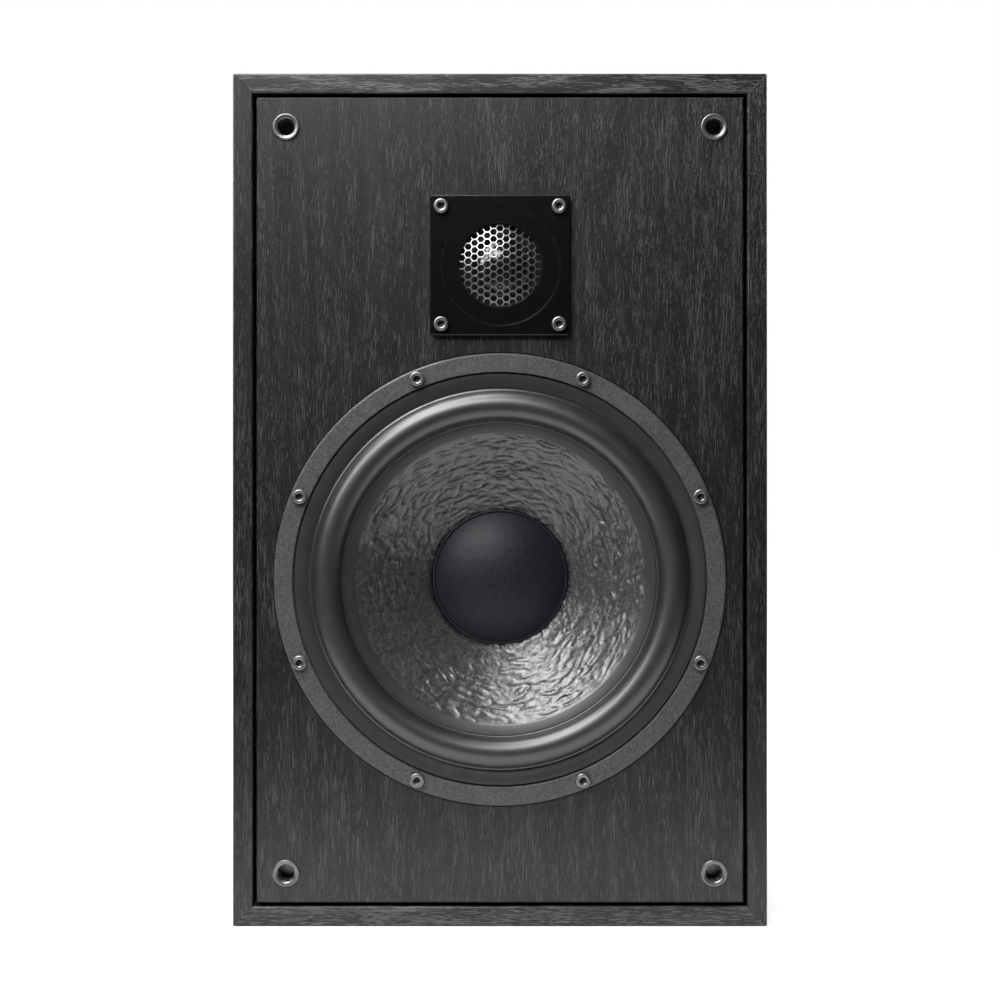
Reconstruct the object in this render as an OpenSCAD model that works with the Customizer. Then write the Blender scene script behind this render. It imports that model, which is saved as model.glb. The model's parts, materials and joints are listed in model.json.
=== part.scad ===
// Two-way sealed bookshelf speaker: a mitred cabinet with a framed baffle, an 8 inch woofer,
// a 25 mm dome tweeter under a wire-mesh guard, a crossover and a recessed terminal cup.
// Front faces -Y, +Z is up, and the origin is under the middle of the whole speaker.

/* [Cabinet] */
// Outside width of the cabinet
cab_w = 255; // [245:1:320]
// Outside height of the cabinet
cab_h = 407; // [385:1:500]
// Depth of the boards, front edge to back edge
cab_d = 280; // [230:1:360]
// Thickness of the side, top and bottom boards
panel_t = 16; // [12:0.2:19.2]
// Width of the lip that frames the baffle
lip_w = 9.5; // [6:0.1:11.4]
// Gap between the lip and the baffle
shadow_gap = 1.8; // [0.8:0.1:2.4]
// Thickness of the baffle
baffle_t = 18; // [15:0.2:25]
// Step from the lip's front edge back to the baffle's face
baffle_recess = 0.3; // [0:0.1:2]
// Thickness of the back panel
back_t = 16; // [12:0.2:20]
// Step from the boards' back edges in to the back panel
back_recess = 4; // [3.6:0.1:8]
// Fitting gap around the back panel
panel_fit = 0.25; // [0.1:0.05:0.5]
// Chamfer on the edges of boards and baffle
board_ease = 0.6; // [0.2:0.1:1.5]
// Side of the square glue cleats inside the front and back
cleat = 14; // [10:0.2:16.8]
// Thickness of the window brace
brace_t = 12; // [9:0.5:16]
// Thickness of the wadding on the side walls
wadding_t = 20; // [10:1:30]
// Screws along each edge of the back panel
back_screw_count = 3; // [2:1:4]

/* [Grille sockets] */
// Inset of the socket axes from the cabinet's sides
socket_inset_x = 25.4; // [22:0.1:32]
// Inset of the socket axes from the cabinet's top and bottom
socket_inset_z = 25.5; // [22:0.1:32]
// Bore of the socket mouth that takes a grille peg
socket_bore_d = 7.8; // [6:0.1:9]
// Diameter of the socket flange
socket_flange_d = 12.8; // [11.6:0.1:15]
// Height of the socket flange over the baffle
socket_proud = 1.2; // [0.6:0.1:2]
// Depth of the socket below the baffle's face
socket_depth = 13; // [9:0.5:14]
// Spring prongs round the inside of a socket
prong_count = 8; // [6:1:10]

/* [Woofer] */
// Height of the woofer's axis over the cabinet's base
woofer_rise = 165.6; // [140:0.1:180]
// Outside diameter of the woofer's flange
woofer_d = 216; // [180:1:222]
// Width of the bare metal ring round the surround
ring_w = 9.1; // [8.5:0.1:11]
// Height of the ring over the baffle
ring_proud = 1.5; // [0.5:0.1:3]
// Thickness of the flange at the ring
flange_t = 5; // [4:0.1:7]
// Width of the surround's flat outer flange
surround_flange_w = 7.6; // [6:0.1:9]
// Thickness of the surround's rubber
rubber_t = 1.2; // [0.8:0.1:1.4]
// Width of the surround's half roll
roll_w = 15; // [10:0.1:18]
// Height of the half roll over the surround's flange
roll_h = 6.7; // [5.8:0.1:9]
// Width of the surround's inner lip
surround_lip_w = 6.2; // [4:0.1:8]
// Depth of the cone from its rim to its neck
cone_depth = 40; // [33.4:0.5:44]
// Thickness of the cone, measured along the axis
cone_t = 1.4; // [1:0.1:1.8]
// Diameter of the dust cap
cap_d = 66.4; // [55:0.1:80]
// Height of the dust cap's dome
cap_h = 10; // [6:0.5:14]
// Outside diameter of the voice coil former
former_d = 38.7; // [32:0.1:46]
// Diameter of the ferrite ring magnet
magnet_d = 116; // [100:1:139]
// Thickness of the ferrite ring magnet
magnet_t = 18; // [15:0.5:24]
// Travel of the cone each way
cone_travel = 5; // [3:0.5:6]
// Screws that hold the woofer
woofer_screws_n = 8; // [4:1:10]

/* [Tweeter] */
// Distance of the tweeter's axis below the cabinet's top
tweeter_drop = 91.8; // [78:0.1:95]
// Side of the square faceplate
plate_w = 66.8; // [64:0.1:80]
// Height of the faceplate over the baffle
plate_proud = 3.2; // [2.8:0.1:4.5]
// Diameter of the turned step on the faceplate
step_d = 57.8; // [50:0.1:60]
// Diameter of the mesh guard's dome
mesh_d = 39.6; // [37:0.1:44]
// Height of the mesh guard's dome
mesh_h = 5; // [4.6:0.1:5.5]
// Distance between the mesh's holes, centre to centre
mesh_pitch = 3.5; // [2.8:0.1:4.5]
// Width of the mesh's strands
mesh_strand = 0.7; // [0.5:0.05:1]
// Diameter of the dome
dome_d = 25; // [22:0.1:28]
// Height of the dome
dome_h = 4.2; // [3:0.1:5]
// Distance between the faceplate's screws, centre to centre
plate_screw_pitch = 56; // [54:0.1:60]
// Travel of the dome each way
dome_travel = 0.4; // [0.2:0.1:0.6]

/* [Front screws] */
// Thread diameter
screw_d = 4; // [3:0.5:5]
// Head diameter
screw_head_d = 7; // [6:0.1:8.4]
// Head height
screw_head_h = 2.6; // [2:0.1:3.5]
// Hexagon socket, across flats
screw_key = 3; // [2:0.5:4]
// Length under the head
screw_len = 18; // [14:0.5:21]

/* [Terminals] */
// Height of the terminal cup's middle over the base
cup_rise = 118; // [100:1:150]
// Width of the terminal cup's flange
cup_w = 96; // [94:1:120]
// Height of the terminal cup's flange
cup_h = 74; // [72:1:95]
// Width of the recess that holds the posts
dish_w = 68; // [56:1:70]
// Height of the recess
dish_h = 46; // [38:1:48]
// Depth of the recess from the flange's face
dish_depth = 30; // [29.4:0.2:36]
// Distance between the binding posts, centre to centre
post_pitch = 19.05; // [15.9:0.05:25]
// Diameter of a binding post knob
knob_d = 12.4; // [11.4:0.1:14]
// Length of a binding post knob
knob_len = 20; // [18:0.5:21]
// Thread diameter of a binding post
post_d = 6; // [5.4:0.1:6.4]
// Thread pitch of a binding post
post_thread = 1; // [0.5:0.05:1.5]
// Turns from clamped to fully open
post_turns = 5; // [2:1:5]
// Bore for a banana plug
banana_d = 4; // [3.9:0.05:4.1]

/* [Hidden] */

$fn = 96;
eps = 0.5;            // how far a cutting tool runs past the face it opens
glue = 0.05;          // room left where two pieces are glued
hex = 1 / cos(30);    // across corners over across flats

// Levels along a driver's own axis: 0 is the baffle's face and + is towards the listener
flange_back = ring_proud - flange_t;
seam = 0.5;                                   // seam between the ring and the rubber
seat_z = flange_back + 2.6;                   // where the surround's flange sits
rubber_top = seat_z + rubber_t + 0.2;
roll_top = rubber_top + roll_h;
gasket_t = 1;
woofer_rebate = gasket_t - flange_back;

// Places along Y
total_d = cab_d + roll_top - baffle_recess;
face_y = roll_top - total_d / 2;              // the baffle's face
lip_y = face_y - baffle_recess;               // front edges of the boards
rear_y = total_d / 2;                         // back edges of the boards
baffle_back_y = face_y + baffle_t;
panel_y = rear_y - back_recess;               // the back panel's outer face
panel_in_y = panel_y - back_t;                // and its inner face

// Inside of the cabinet
room_w = cab_w - 2 * panel_t;
room_h = cab_h - 2 * panel_t;
baffle_w = cab_w - 2 * (lip_w + shadow_gap);
baffle_h = cab_h - 2 * (lip_w + shadow_gap);

// Driver places
woofer_z = woofer_rise;
tweeter_z = cab_h - tweeter_drop;

// The brace fills the height between the drivers, from front to rear cleats
brace_z = (woofer_z + woofer_d / 2 + tweeter_z - plate_w / 2) / 2;
brace_y = baffle_back_y + cleat;
brace_l = panel_in_y - cleat - brace_y;

// Fasteners: threaded inserts in the baffle, wood screws behind
insert_r = screw_d / 2 + 1.3;
insert_len = 10;
back_screw_r = 2;
back_screw_len = back_t + 10;
wadding_ease = 3;

// Grille sockets
socket_x = cab_w / 2 - socket_inset_x;
socket_zs = [socket_inset_z, cab_h - socket_inset_z];
socket_r = socket_bore_d / 2;
socket_sleeve_r = socket_r + 1.3;
socket_mouth = 2.4;                           // plain bore before the prongs begin
prong_in_r = socket_r - 0.4;

// Woofer radii, from the flange inwards
woofer_r = woofer_d / 2;
ring_in_r = woofer_r - ring_w;
roll_out_r = ring_in_r - seam - surround_flange_w;
roll_in_r = roll_out_r - roll_w;
lip_in_r = roll_in_r - surround_lip_w;
screw_circle_r = woofer_r - ring_w / 2 - 0.15;
skirt_r = ring_in_r - 2.9;                    // outside of the basket's skirt
cutout_r = skirt_r + 1;
rebate_r = woofer_r + 0.5;
neck_r = former_d / 2 + 0.15;
cone_rim_r = lip_in_r + 0.4;
cone_rim_z = seat_z - glue;
neck_z = cone_rim_z - cone_depth;
cone_slope = cone_depth / (cone_rim_r - neck_r);
function cone_z(r) = cone_rim_z - (cone_rim_r - r) * cone_slope;

// Woofer motor, from the spider back
shelf_z = neck_z - cone_travel - 1.1;         // spider's landing
shelf_in_r = former_d / 2 + 34.6;
shelf_out_r = shelf_in_r + 8.4;
motor_z = shelf_z - 15;                       // front of the top plate
plate_t = 8;
gap_in = 0.85;                                // from the pole to the former
gap_out = 0.8;                                // from the winding to the top plate
former_t = 0.35;
winding_t = 1;
winding_h = 16;
pole_r = former_d / 2 - former_t - gap_in;
plate_in_r = former_d / 2 + glue + winding_t + gap_out;
magnet_z = motor_z - plate_t;
yoke_z = magnet_z - magnet_t;
coil_mid = motor_z - plate_t / 2;

// Basket windows
spoke_count = 6;
spoke_half = 8;                               // half of a spoke, in degrees
window_top = min(-baffle_t + 1, -15);
window_low = shelf_z + 3;

// Tweeter levels and radii
plate_gasket_t = 0.6;
step_drop = 0.4;
mesh_base = 1.6;
mesh_t = 0.5;
mesh_r = mesh_d / 2;
plate_bore_r = mesh_r + 0.3;
guard_seat_r = mesh_r - 1;
tweeter_cut_r = min(plate_w / 2 - 2.4, plate_screw_pitch / sqrt(2) - 8);
ring_out_r = tweeter_cut_r - 0.6;
dome_z = -1;
dome_r = dome_d / 2;
tweeter_roll_w = 3.2;
tweeter_roll_r = dome_r + 0.3 + tweeter_roll_w;
mount_top = dome_z - 0.05;
tweeter_motor_z = dome_z - 1.6 - dome_travel;  // room for the dome to move back
tweeter_plate_t = 4;
tweeter_magnet_t = 10;
tweeter_magnet_z = tweeter_motor_z - tweeter_plate_t;
tweeter_yoke_z = tweeter_magnet_z - tweeter_magnet_t;
tweeter_magnet_r = ring_out_r - 2;

// Crossover
xo_w = 120;
xo_l = 84;
xo_t = 1.6;
standoff = 6;
xo_hole_x = xo_w / 2 - 6;
xo_hole_y = xo_l / 2 - 6;
xo_y = panel_in_y - cleat - 10 - xo_l / 2;
xo_z = panel_t + standoff;

// Terminal cup, measured from the back panel's outer face, + towards the rear
cup_gasket_t = 0.6;
cup_top = 3.4;
dish_wall = 2.5;
dish_z = cup_top - dish_depth;                // floor of the recess
floor_t = 3;
cup_corner = 6;
cup_head_r = 2.9;
cup_screw_r = 1.6;
cup_screw_len = 13;
cup_screw_sink = 1.6;
cup_screw_x = (cup_w / 2 + dish_w / 2 + dish_wall) / 2;
cup_screw_z = (cup_h / 2 + dish_h / 2 + dish_wall) / 2;

// Binding posts, on the same axis
collar_t = 3;
collar_z = dish_z + collar_t;                 // top of the collar
collar_hole_r = post_d / 2 + 1.5;
knob_z = collar_z + 0.2;
knob_end = knob_z + knob_len;
post_end = knob_end - 1;
post_r = post_d / 2;
knob_r = knob_d / 2;
nut_r = post_r + 1.6;
nut_len = post_thread * post_turns + 5;       // five millimetres stay threaded when it's open
thread_fit = 0.05;                            // radial room in a threaded or turning fit
wire_hole_z = collar_z + 1.8;
wire_hole_r = 1.3;
banana_r = banana_d / 2;
banana_floor = wire_hole_z + wire_hole_r + 0.3;
post_tail = dish_z - floor_t - 10;

// Lead routes, as round numbers in the cabinet's own frame
wire_r = 1.25;
lead_r = 0.8;
lead_x = 17;

// Colours
vinyl = [0.10, 0.10, 0.11];
board_core = [0.45, 0.36, 0.26];
steel = [0.55, 0.56, 0.58];
ring_grey = [0.33, 0.33, 0.35];
rubber = [0.13, 0.13, 0.14];
pulp = [0.27, 0.27, 0.28];
black = [0.04, 0.04, 0.04];
copper = [0.72, 0.42, 0.22];
gold = [0.83, 0.67, 0.33];
ferrite = [0.16, 0.16, 0.17];
cream = [0.82, 0.76, 0.60];
fibre = [0.86, 0.85, 0.82];
phenolic = [0.55, 0.38, 0.20];
knob_red = [0.66, 0.05, 0.05];
knob_black = [0.06, 0.06, 0.06];

// ---- frames and basic forms ----

// Puts children on the baffle's face, with their +Z towards the listener
module on_baffle(x, z) translate([x, face_y, z]) rotate([90, 0, 0]) children();

// Puts children on the back panel's outer face, with their +Z towards the rear
module on_back(x, z) translate([x, panel_y, z]) rotate([90, 0, 180]) children();

module woofer_place() on_baffle(0, woofer_z) children();
module tweeter_place() on_baffle(0, tweeter_z) children();
module post_place(side) on_back(side * post_pitch / 2, cup_rise) children();

// Children at n places round a circle, half a step off the X axis
module round_circle(r, n) {
  for (i = [0:n - 1])
    rotate([0, 0, 360 / n * (i + 0.5)])
      translate([r, 0, 0])
        children();
}

// Children at the four corners of a rectangle
module at_corners(x, y) {
  for (i = [-1, 1])
    for (j = [-1, 1])
      translate([i * x, j * y, 0])
        children();
}

module tube(r_out, r_in, low, high) {
  difference() {
    translate([0, 0, low])
      cylinder(r = r_out, h = high - low);
    translate([0, 0, low - eps])
      cylinder(r = r_in, h = high - low + 2 * eps);
  }
}

function chamfered(w, h, c) = [
  [-w / 2 + c, -h / 2], [w / 2 - c, -h / 2], [w / 2, -h / 2 + c], [w / 2, h / 2 - c],
  [w / 2 - c, h / 2], [-w / 2 + c, h / 2], [-w / 2, h / 2 - c], [-w / 2, -h / 2 + c]
];

// A box centred on the origin with every edge chamfered by c
module eased_box(w, d, h, c) {
  intersection() {
    linear_extrude(height = h, center = true)
      polygon(chamfered(w, d, c));
    rotate([90, 0, 0])
      linear_extrude(height = d, center = true)
        polygon(chamfered(w, h, c));
    rotate([90, 0, 90])
      linear_extrude(height = w, center = true)
        polygon(chamfered(d, h, c));
  }
}

// A plate in XY with rounded corners, from low to high
module round_plate(w, h, r, low, high) {
  translate([0, 0, low])
    linear_extrude(height = high - low)
      union() {
        square([w - 2 * r, h], center = true);
        square([w, h - 2 * r], center = true);
        at_corners(w / 2 - r, h / 2 - r)
          circle(r = r);
      }
}

// Points of half an ellipse from angle 0 to 180 about (mid, base)
function arch(mid, half_w, height, base, steps) =
  [for (i = [0:steps]) let (a = 180 * i / steps)
    [mid + half_w * cos(a), base + height * sin(a)]];

function reversed(p) = [for (i = [len(p) - 1:-1:0]) p[i]];

// Points of a spherical cap's edge, from the rim at radius r to the axis
function cap_line(r, height, base, steps) =
  let (big = (r * r + height * height) / (2 * height), span = asin(r / big))
  [for (i = [0:steps]) let (a = span * (1 - i / steps))
    [big * sin(a), base + height - big + big * cos(a)]];

// ---- swept wires ----

function unit(v) = v / norm(v);
function heading(p, i) = unit(p[min(i + 1, len(p) - 1)] - p[max(i - 1, 0)]);
function square_to(v, t) = unit(v - (v * t) * t);
function side_of(p, i) =
  i == 0 ? square_to([0.31, 0.87, 0.39], heading(p, 0)) : square_to(side_of(p, i - 1), heading(p, i));

// A smooth curve through the points p, with n steps between each two
function curve(p, n) = concat(
  [for (i = [0:len(p) - 2]) for (k = [0:n - 1])
    let (a = p[max(i - 1, 0)], b = p[i], c = p[i + 1], d = p[min(i + 2, len(p) - 1)], t = k / n)
    0.5 * (2 * b + (c - a) * t + (2 * a - 5 * b + 4 * c - d) * t * t
      + (3 * b - 3 * c + d - a) * t * t * t)],
  [p[len(p) - 1]]
);

module wire(route, r, sides = 8) {
  n = len(route);
  rings = [for (i = [0:n - 1])
    let (t = heading(route, i), u = side_of(route, i), v = cross(t, u))
    for (k = [0:sides - 1]) let (a = 360 * k / sides)
      route[i] + r * (cos(a) * u + sin(a) * v)];
  walls = [for (i = [0:n - 2]) for (k = [0:sides - 1]) let (m = (k + 1) % sides)
    [i * sides + k, (i + 1) * sides + k, (i + 1) * sides + m, i * sides + m]];
  first = [for (k = [0:sides - 1]) k];
  last = [for (k = [sides - 1:-1:0]) (n - 1) * sides + k];
  polyhedron(points = rings, faces = concat(walls, [first, last]));
}

// ---- cabinet ----

// All four boards as one shell: the outside, less the room and the front rebate
module boards() {
  middle = (lip_y + rear_y) / 2;
  rebate = baffle_t + baffle_recess;
  difference() {
    translate([0, middle, cab_h / 2])
      eased_box(cab_w, cab_d, cab_h, board_ease);
    translate([-room_w / 2, lip_y - eps, panel_t])
      cube([room_w, cab_d + 2 * eps, room_h]);
    translate([-cab_w / 2 + lip_w, lip_y - eps, lip_w])
      cube([cab_w - 2 * lip_w, rebate + eps, cab_h - 2 * lip_w]);
    lip_easing();
  }
}

// Breaks the lip's inner edge: a shallow pyramid made of two crossed wedges
module lip_easing() {
  c = board_ease;
  w = cab_w / 2 - lip_w;
  h = cab_h / 2 - lip_w;
  intersection() {
    translate([0, lip_y, 0])
      linear_extrude(height = cab_h)
        polygon([[-w - 2 * c, -c], [w + 2 * c, -c], [w, c], [-w, c]]);
    translate([-cab_w / 2, lip_y, cab_h / 2])
      rotate([90, 0, 90])
        linear_extrude(height = cab_w)
          polygon([[-c, -h - 2 * c], [c, -h], [c, h], [-c, h + 2 * c]]);
  }
}

// The part of the shell between a side's two mitres: a wedge with 45 degree ends
module mitred(length, turn, x, z) {
  deep = 2 * panel_t;
  color(vinyl)
    intersection() {
      boards();
      translate([x, lip_y - eps, z])
        rotate([0, turn, 0])
          rotate([-90, 0, 0])
            linear_extrude(height = cab_d + 2 * eps)
              polygon([[0, -length / 2], [deep, -length / 2 + deep],
                [deep, length / 2 - deep], [0, length / 2]]);
    }
}

module left_board() mitred(cab_h, 0, -cab_w / 2, cab_h / 2);
module right_board() mitred(cab_h, 180, cab_w / 2, cab_h / 2);
module top_board() mitred(cab_w, 90, 0, cab_h);
module bottom_board() mitred(cab_w, -90, 0, 0);

module baffle() {
  color(vinyl)
    difference() {
      translate([0, (face_y + baffle_back_y) / 2, cab_h / 2])
        eased_box(baffle_w, baffle_t, baffle_h, board_ease);
      woofer_place() {
        translate([0, 0, -baffle_t - eps])
          cylinder(r = cutout_r, h = baffle_t + 2 * eps);
        translate([0, 0, -woofer_rebate])
          cylinder(r = rebate_r, h = woofer_rebate + eps);
        round_circle(screw_circle_r, woofer_screws_n)
          screw_hole(-baffle_t - eps);
      }
      tweeter_place() {
        translate([0, 0, -baffle_t - eps])
          cylinder(r = tweeter_cut_r, h = baffle_t + 2 * eps);
        at_corners(plate_screw_pitch / 2, plate_screw_pitch / 2)
          screw_hole(-baffle_t - eps);
      }
      for (x = [-socket_x, socket_x])
        for (z = socket_zs)
          on_baffle(x, z)
            translate([0, 0, -socket_depth])
              cylinder(r = socket_sleeve_r + 0.1, h = socket_depth + eps);
    }
}

// A screw's way through the baffle, wide enough for its threaded insert
module screw_hole(low) {
  translate([0, 0, low])
    cylinder(r = insert_r, h = eps - low);
}

module threaded_inserts() {
  color(gold) {
    woofer_place()
      round_circle(screw_circle_r, woofer_screws_n)
        insert(-woofer_rebate);
    tweeter_place()
      at_corners(plate_screw_pitch / 2, plate_screw_pitch / 2)
        insert(0);
  }
}

module insert(top) {
  room = 1;
  tube(insert_r - glue, screw_d / 2 + thread_fit, top - room - insert_len, top - room);
}

module back_panel() {
  color(vinyl)
    difference() {
      translate([0, (panel_y + panel_in_y) / 2, cab_h / 2])
        eased_box(room_w - 2 * panel_fit, back_t, room_h - 2 * panel_fit, board_ease / 2);
      on_back(0, cup_rise)
        round_plate(dish_w + 2 * dish_wall + 1, dish_h + 2 * dish_wall + 1, cup_corner / 2,
          -back_t - eps, eps);
      on_back(0, cup_rise)
        at_corners(cup_screw_x, cup_screw_z)
          translate([0, 0, -cup_screw_len])
            cylinder(r = cup_screw_r + glue, h = cup_screw_len + eps);
      at_back_screws()
        translate([0, 0, -back_t - eps])
          cylinder(r = back_screw_r + glue, h = back_t + 2 * eps);
    }
}

// Places of the back panel's screws, over the middle of the rear cleats
module at_back_screws() {
  x = room_w / 2 - cleat / 2;
  z = room_h / 2 - cleat / 2;
  n = back_screw_count;
  for (side = [-1, 1]) {
    for (i = [0:n - 1])
      on_back(side * x, cab_h / 2 + z * (2 * i / (n - 1) - 1))
        children();
    on_back(0, cab_h / 2 + side * z)
      children();
  }
}

module back_screws() {
  color(black)
    at_back_screws()
      pan_screw(4, 2.2, back_screw_r, back_screw_len);
}

// A cross-head screw with a low domed head, seated at 0
module pan_screw(head_r, head_h, shank_r, length) {
  difference() {
    union() {
      rotate_extrude()
        polygon(concat([[0, 0]], [[head_r, 0], [head_r, head_h * 0.35]],
          [for (i = [1:5]) [head_r * (1 - 0.5 * pow(i / 5, 2)), head_h * (0.35 + 0.65 * i / 5)]],
          [[0, head_h]]));
      translate([0, 0, -length])
        cylinder(r = shank_r, h = length + 0.1);
    }
    for (a = [0, 90])
      rotate([0, 0, a])
        translate([-head_r * 0.55, -head_r * 0.12, head_h * 0.35])
          cube([head_r * 1.1, head_r * 0.24, head_h]);
  }
}

// Two uprights and two rails round the inside, from y to y + cleat
module cleat_frame(y) {
  for (side = [-1, 1]) {
    translate([side * (room_w - cleat) / 2, y + cleat / 2, cab_h / 2])
      cube([cleat, cleat, room_h], center = true);
    translate([0, y + cleat / 2, cab_h / 2 + side * (room_h - cleat) / 2])
      cube([room_w - 2 * cleat, cleat, cleat], center = true);
  }
}

module front_cleats() color(board_core) cleat_frame(baffle_back_y);

module rear_cleats() {
  color(board_core)
    difference() {
      cleat_frame(panel_in_y - cleat);
      at_back_screws()
        translate([0, 0, -back_screw_len - 1])
          cylinder(r = back_screw_r + glue, h = back_screw_len);
    }
}

module window_brace() {
  rail = 26;
  opening = (room_w - 3 * rail) / 2;
  color(board_core)
    difference() {
      translate([-room_w / 2, brace_y, brace_z - brace_t / 2])
        cube([room_w, brace_l, brace_t]);
      for (side = [-1, 1])
        translate([side * (opening + rail) / 2 - opening / 2, brace_y + rail, brace_z - brace_t])
          cube([opening, brace_l - 2 * rail, 2 * brace_t]);
    }
}

module side_wadding() {
  clear = 2;                                    // left free next to cleats and brace
  basket_room = 44;                             // left free beside the woofer's basket
  low = panel_t + cleat + 2 * clear;
  high = brace_z - brace_t / 2 - clear;
  start = baffle_back_y + basket_room;
  stop = panel_in_y - cleat - clear;
  color(fibre)
    for (side = [-1, 1])
      translate([side * (room_w - wadding_t - 1) / 2, (start + stop) / 2, (low + high) / 2])
        eased_box(wadding_t, stop - start, high - low, wadding_ease);
}

module top_wadding() {
  tweeter_room = 45;                            // left free over the brace
  low = brace_z + brace_t / 2 + tweeter_room;
  high = cab_h - panel_t - 1;
  color(fibre)
    translate([0, (brace_y + panel_in_y - cleat) / 2, (low + high) / 2])
      eased_box(room_w - 2 * cleat - 4, brace_l - 10, high - low, wadding_ease);
}

// ---- grille sockets ----

module grille_sockets() {
  color(black)
    for (x = [-socket_x, socket_x])
      for (z = socket_zs)
        on_baffle(x, z)
          grille_socket();
}

module grille_socket() {
  flange_r = socket_flange_d / 2;
  floor_z = 1.2 - socket_depth;
  prong_w = 1;
  rotate_extrude()
    polygon([[0, 0.1 - socket_depth], [socket_sleeve_r, 0.1 - socket_depth], [socket_sleeve_r, 0],
      [flange_r, 0], [flange_r, socket_proud - 0.5], [flange_r - 0.5, socket_proud],
      [socket_r + 0.4, socket_proud], [socket_r, socket_proud - 0.4], [socket_r, floor_z],
      [0, floor_z]]);
  round_circle((prong_in_r + socket_r + 0.4) / 2, prong_count)
    translate([0, 0, (floor_z + 2 - socket_mouth) / 2])
      cube([socket_r + 0.4 - prong_in_r, prong_w, -socket_mouth - floor_z - 2], center = true);
}

// ---- front screws ----

// A low cap screw with a hexagon socket, its head seated at level
module cap_screw(level) {
  r = screw_head_d / 2;
  ease = 0.5;
  difference() {
    union() {
      translate([0, 0, level])
        rotate_extrude()
          polygon([[0, 0], [r, 0], [r, screw_head_h - ease], [r - ease, screw_head_h],
            [0, screw_head_h]]);
      translate([0, 0, level - screw_len])
        cylinder(r = screw_d / 2, h = screw_len + 0.1);
    }
    translate([0, 0, level + screw_head_h * 0.3])
      cylinder(d = screw_key * hex, h = screw_head_h, $fn = 6);
  }
}

module woofer_screws() {
  color(black)
    woofer_place()
      round_circle(screw_circle_r, woofer_screws_n)
        cap_screw(ring_proud);
}

module tweeter_screws() {
  color(black)
    tweeter_place()
      at_corners(plate_screw_pitch / 2, plate_screw_pitch / 2)
        cap_screw(plate_proud);
}

// ---- woofer ----

module woofer_basket() {
  ease = 0.8;
  inner_skirt = skirt_r - 2.8;
  ear_r = shelf_out_r + 2;
  color(ring_grey)
    woofer_place()
      difference() {
        union() {
          rotate_extrude()
            polygon([
              [ring_in_r, seat_z], [ring_in_r, ring_proud - 0.3], [ring_in_r + 0.3, ring_proud],
              [woofer_r - ease, ring_proud], [woofer_r, ring_proud - ease],
              [woofer_r, flange_back], [skirt_r, flange_back], [skirt_r, -14],
              [shelf_out_r + 3.2, shelf_z - 3], [shelf_out_r, motor_z], [plate_in_r + 2, motor_z],
              [plate_in_r + 2, motor_z + 3], [shelf_in_r, motor_z + 3], [shelf_in_r, shelf_z],
              [shelf_out_r - 0.4, shelf_z], [inner_skirt, -13], [inner_skirt, flange_back],
              [roll_out_r + 0.2, flange_back], [roll_out_r + 0.2, seat_z]
            ]);
          translate([-8, -ear_r - 20, shelf_z + 1.2])
            cube([16, 20, 1.8]);
        }
        for (i = [0:spoke_count - 1])
          rotate([0, 0, 360 / spoke_count * i])
            basket_window();
        round_circle(screw_circle_r, woofer_screws_n)
          translate([0, 0, flange_back - eps])
            cylinder(r = screw_d / 2 + 0.3, h = flange_t + 2 * eps);
      }
}

// A sector that opens the bowl between two spokes; a spoke points down
module basket_window() {
  reach = woofer_r;
  wide = reach * tan(180 / spoke_count - spoke_half);
  translate([0, 0, window_low])
    linear_extrude(height = window_top - window_low)
      polygon([[shelf_in_r / 3, 0], [reach, -wide], [reach, wide]]);
}

module woofer_gasket() {
  color(black)
    woofer_place()
      difference() {
        tube(woofer_r - 0.8, cutout_r, -woofer_rebate, flange_back);
        round_circle(screw_circle_r, woofer_screws_n)
          translate([0, 0, -woofer_rebate - eps])
            cylinder(r = screw_d / 2 + 0.3, h = gasket_t + 2 * eps);
      }
}

module woofer_surround() {
  mid = (roll_out_r + roll_in_r) / 2;
  low = rubber_top - rubber_t - 0.2;
  outer = arch(mid, roll_w / 2, roll_h, rubber_top, 28);
  inner = arch(mid, roll_w / 2 - rubber_t, roll_h - rubber_t, rubber_top - 0.1, 28);
  color(rubber)
    woofer_place()
      rotate_extrude()
        polygon(concat(
          [[ring_in_r - seam, low], [ring_in_r - seam, rubber_top]],
          outer,
          [[lip_in_r + 0.5, rubber_top], [lip_in_r, rubber_top - 0.5], [lip_in_r, low],
            [roll_in_r + rubber_t, low]],
          reversed(inner),
          [[roll_out_r - rubber_t, low]]
        ));
}

module woofer_cone() {
  color(pulp)
    woofer_place()
      rotate_extrude()
        polygon([
          [neck_r, neck_z], [cone_rim_r, cone_rim_z], [roll_in_r - 0.4, cone_rim_z],
          [roll_in_r - 0.4, cone_rim_z - 1], [cone_rim_r + 0.6, cone_rim_z - cone_t],
          [neck_r, neck_z - cone_t]
        ]);
}

module woofer_dust_cap() {
  r = cap_d / 2;
  rim = 1.6;
  sheet = 0.8;
  lift = glue * 2;
  dome_r0 = r - rim;
  base = cone_z(dome_r0) + lift + sheet + 0.3;
  color(pulp)
    woofer_place()
      rotate_extrude()
        polygon(concat(
          [[r, cone_z(r) + lift], [r, cone_z(r) + lift + sheet * 0.7]],
          cap_line(dome_r0, cap_h, base, 16),
          reversed(cap_line(dome_r0 - sheet, cap_h - sheet, base, 16)),
          [[dome_r0 - sheet, cone_z(dome_r0 - sheet) + lift]]
        ));
}

module woofer_former() {
  color(steel)
    woofer_place()
      tube(former_d / 2, former_d / 2 - former_t, coil_mid - winding_h / 2, neck_z + 3);
}

module woofer_coil() {
  r = former_d / 2 + glue;
  color(copper)
    woofer_place()
      tube(r + winding_t, r, coil_mid - winding_h / 2, coil_mid + winding_h / 2);
}

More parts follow.
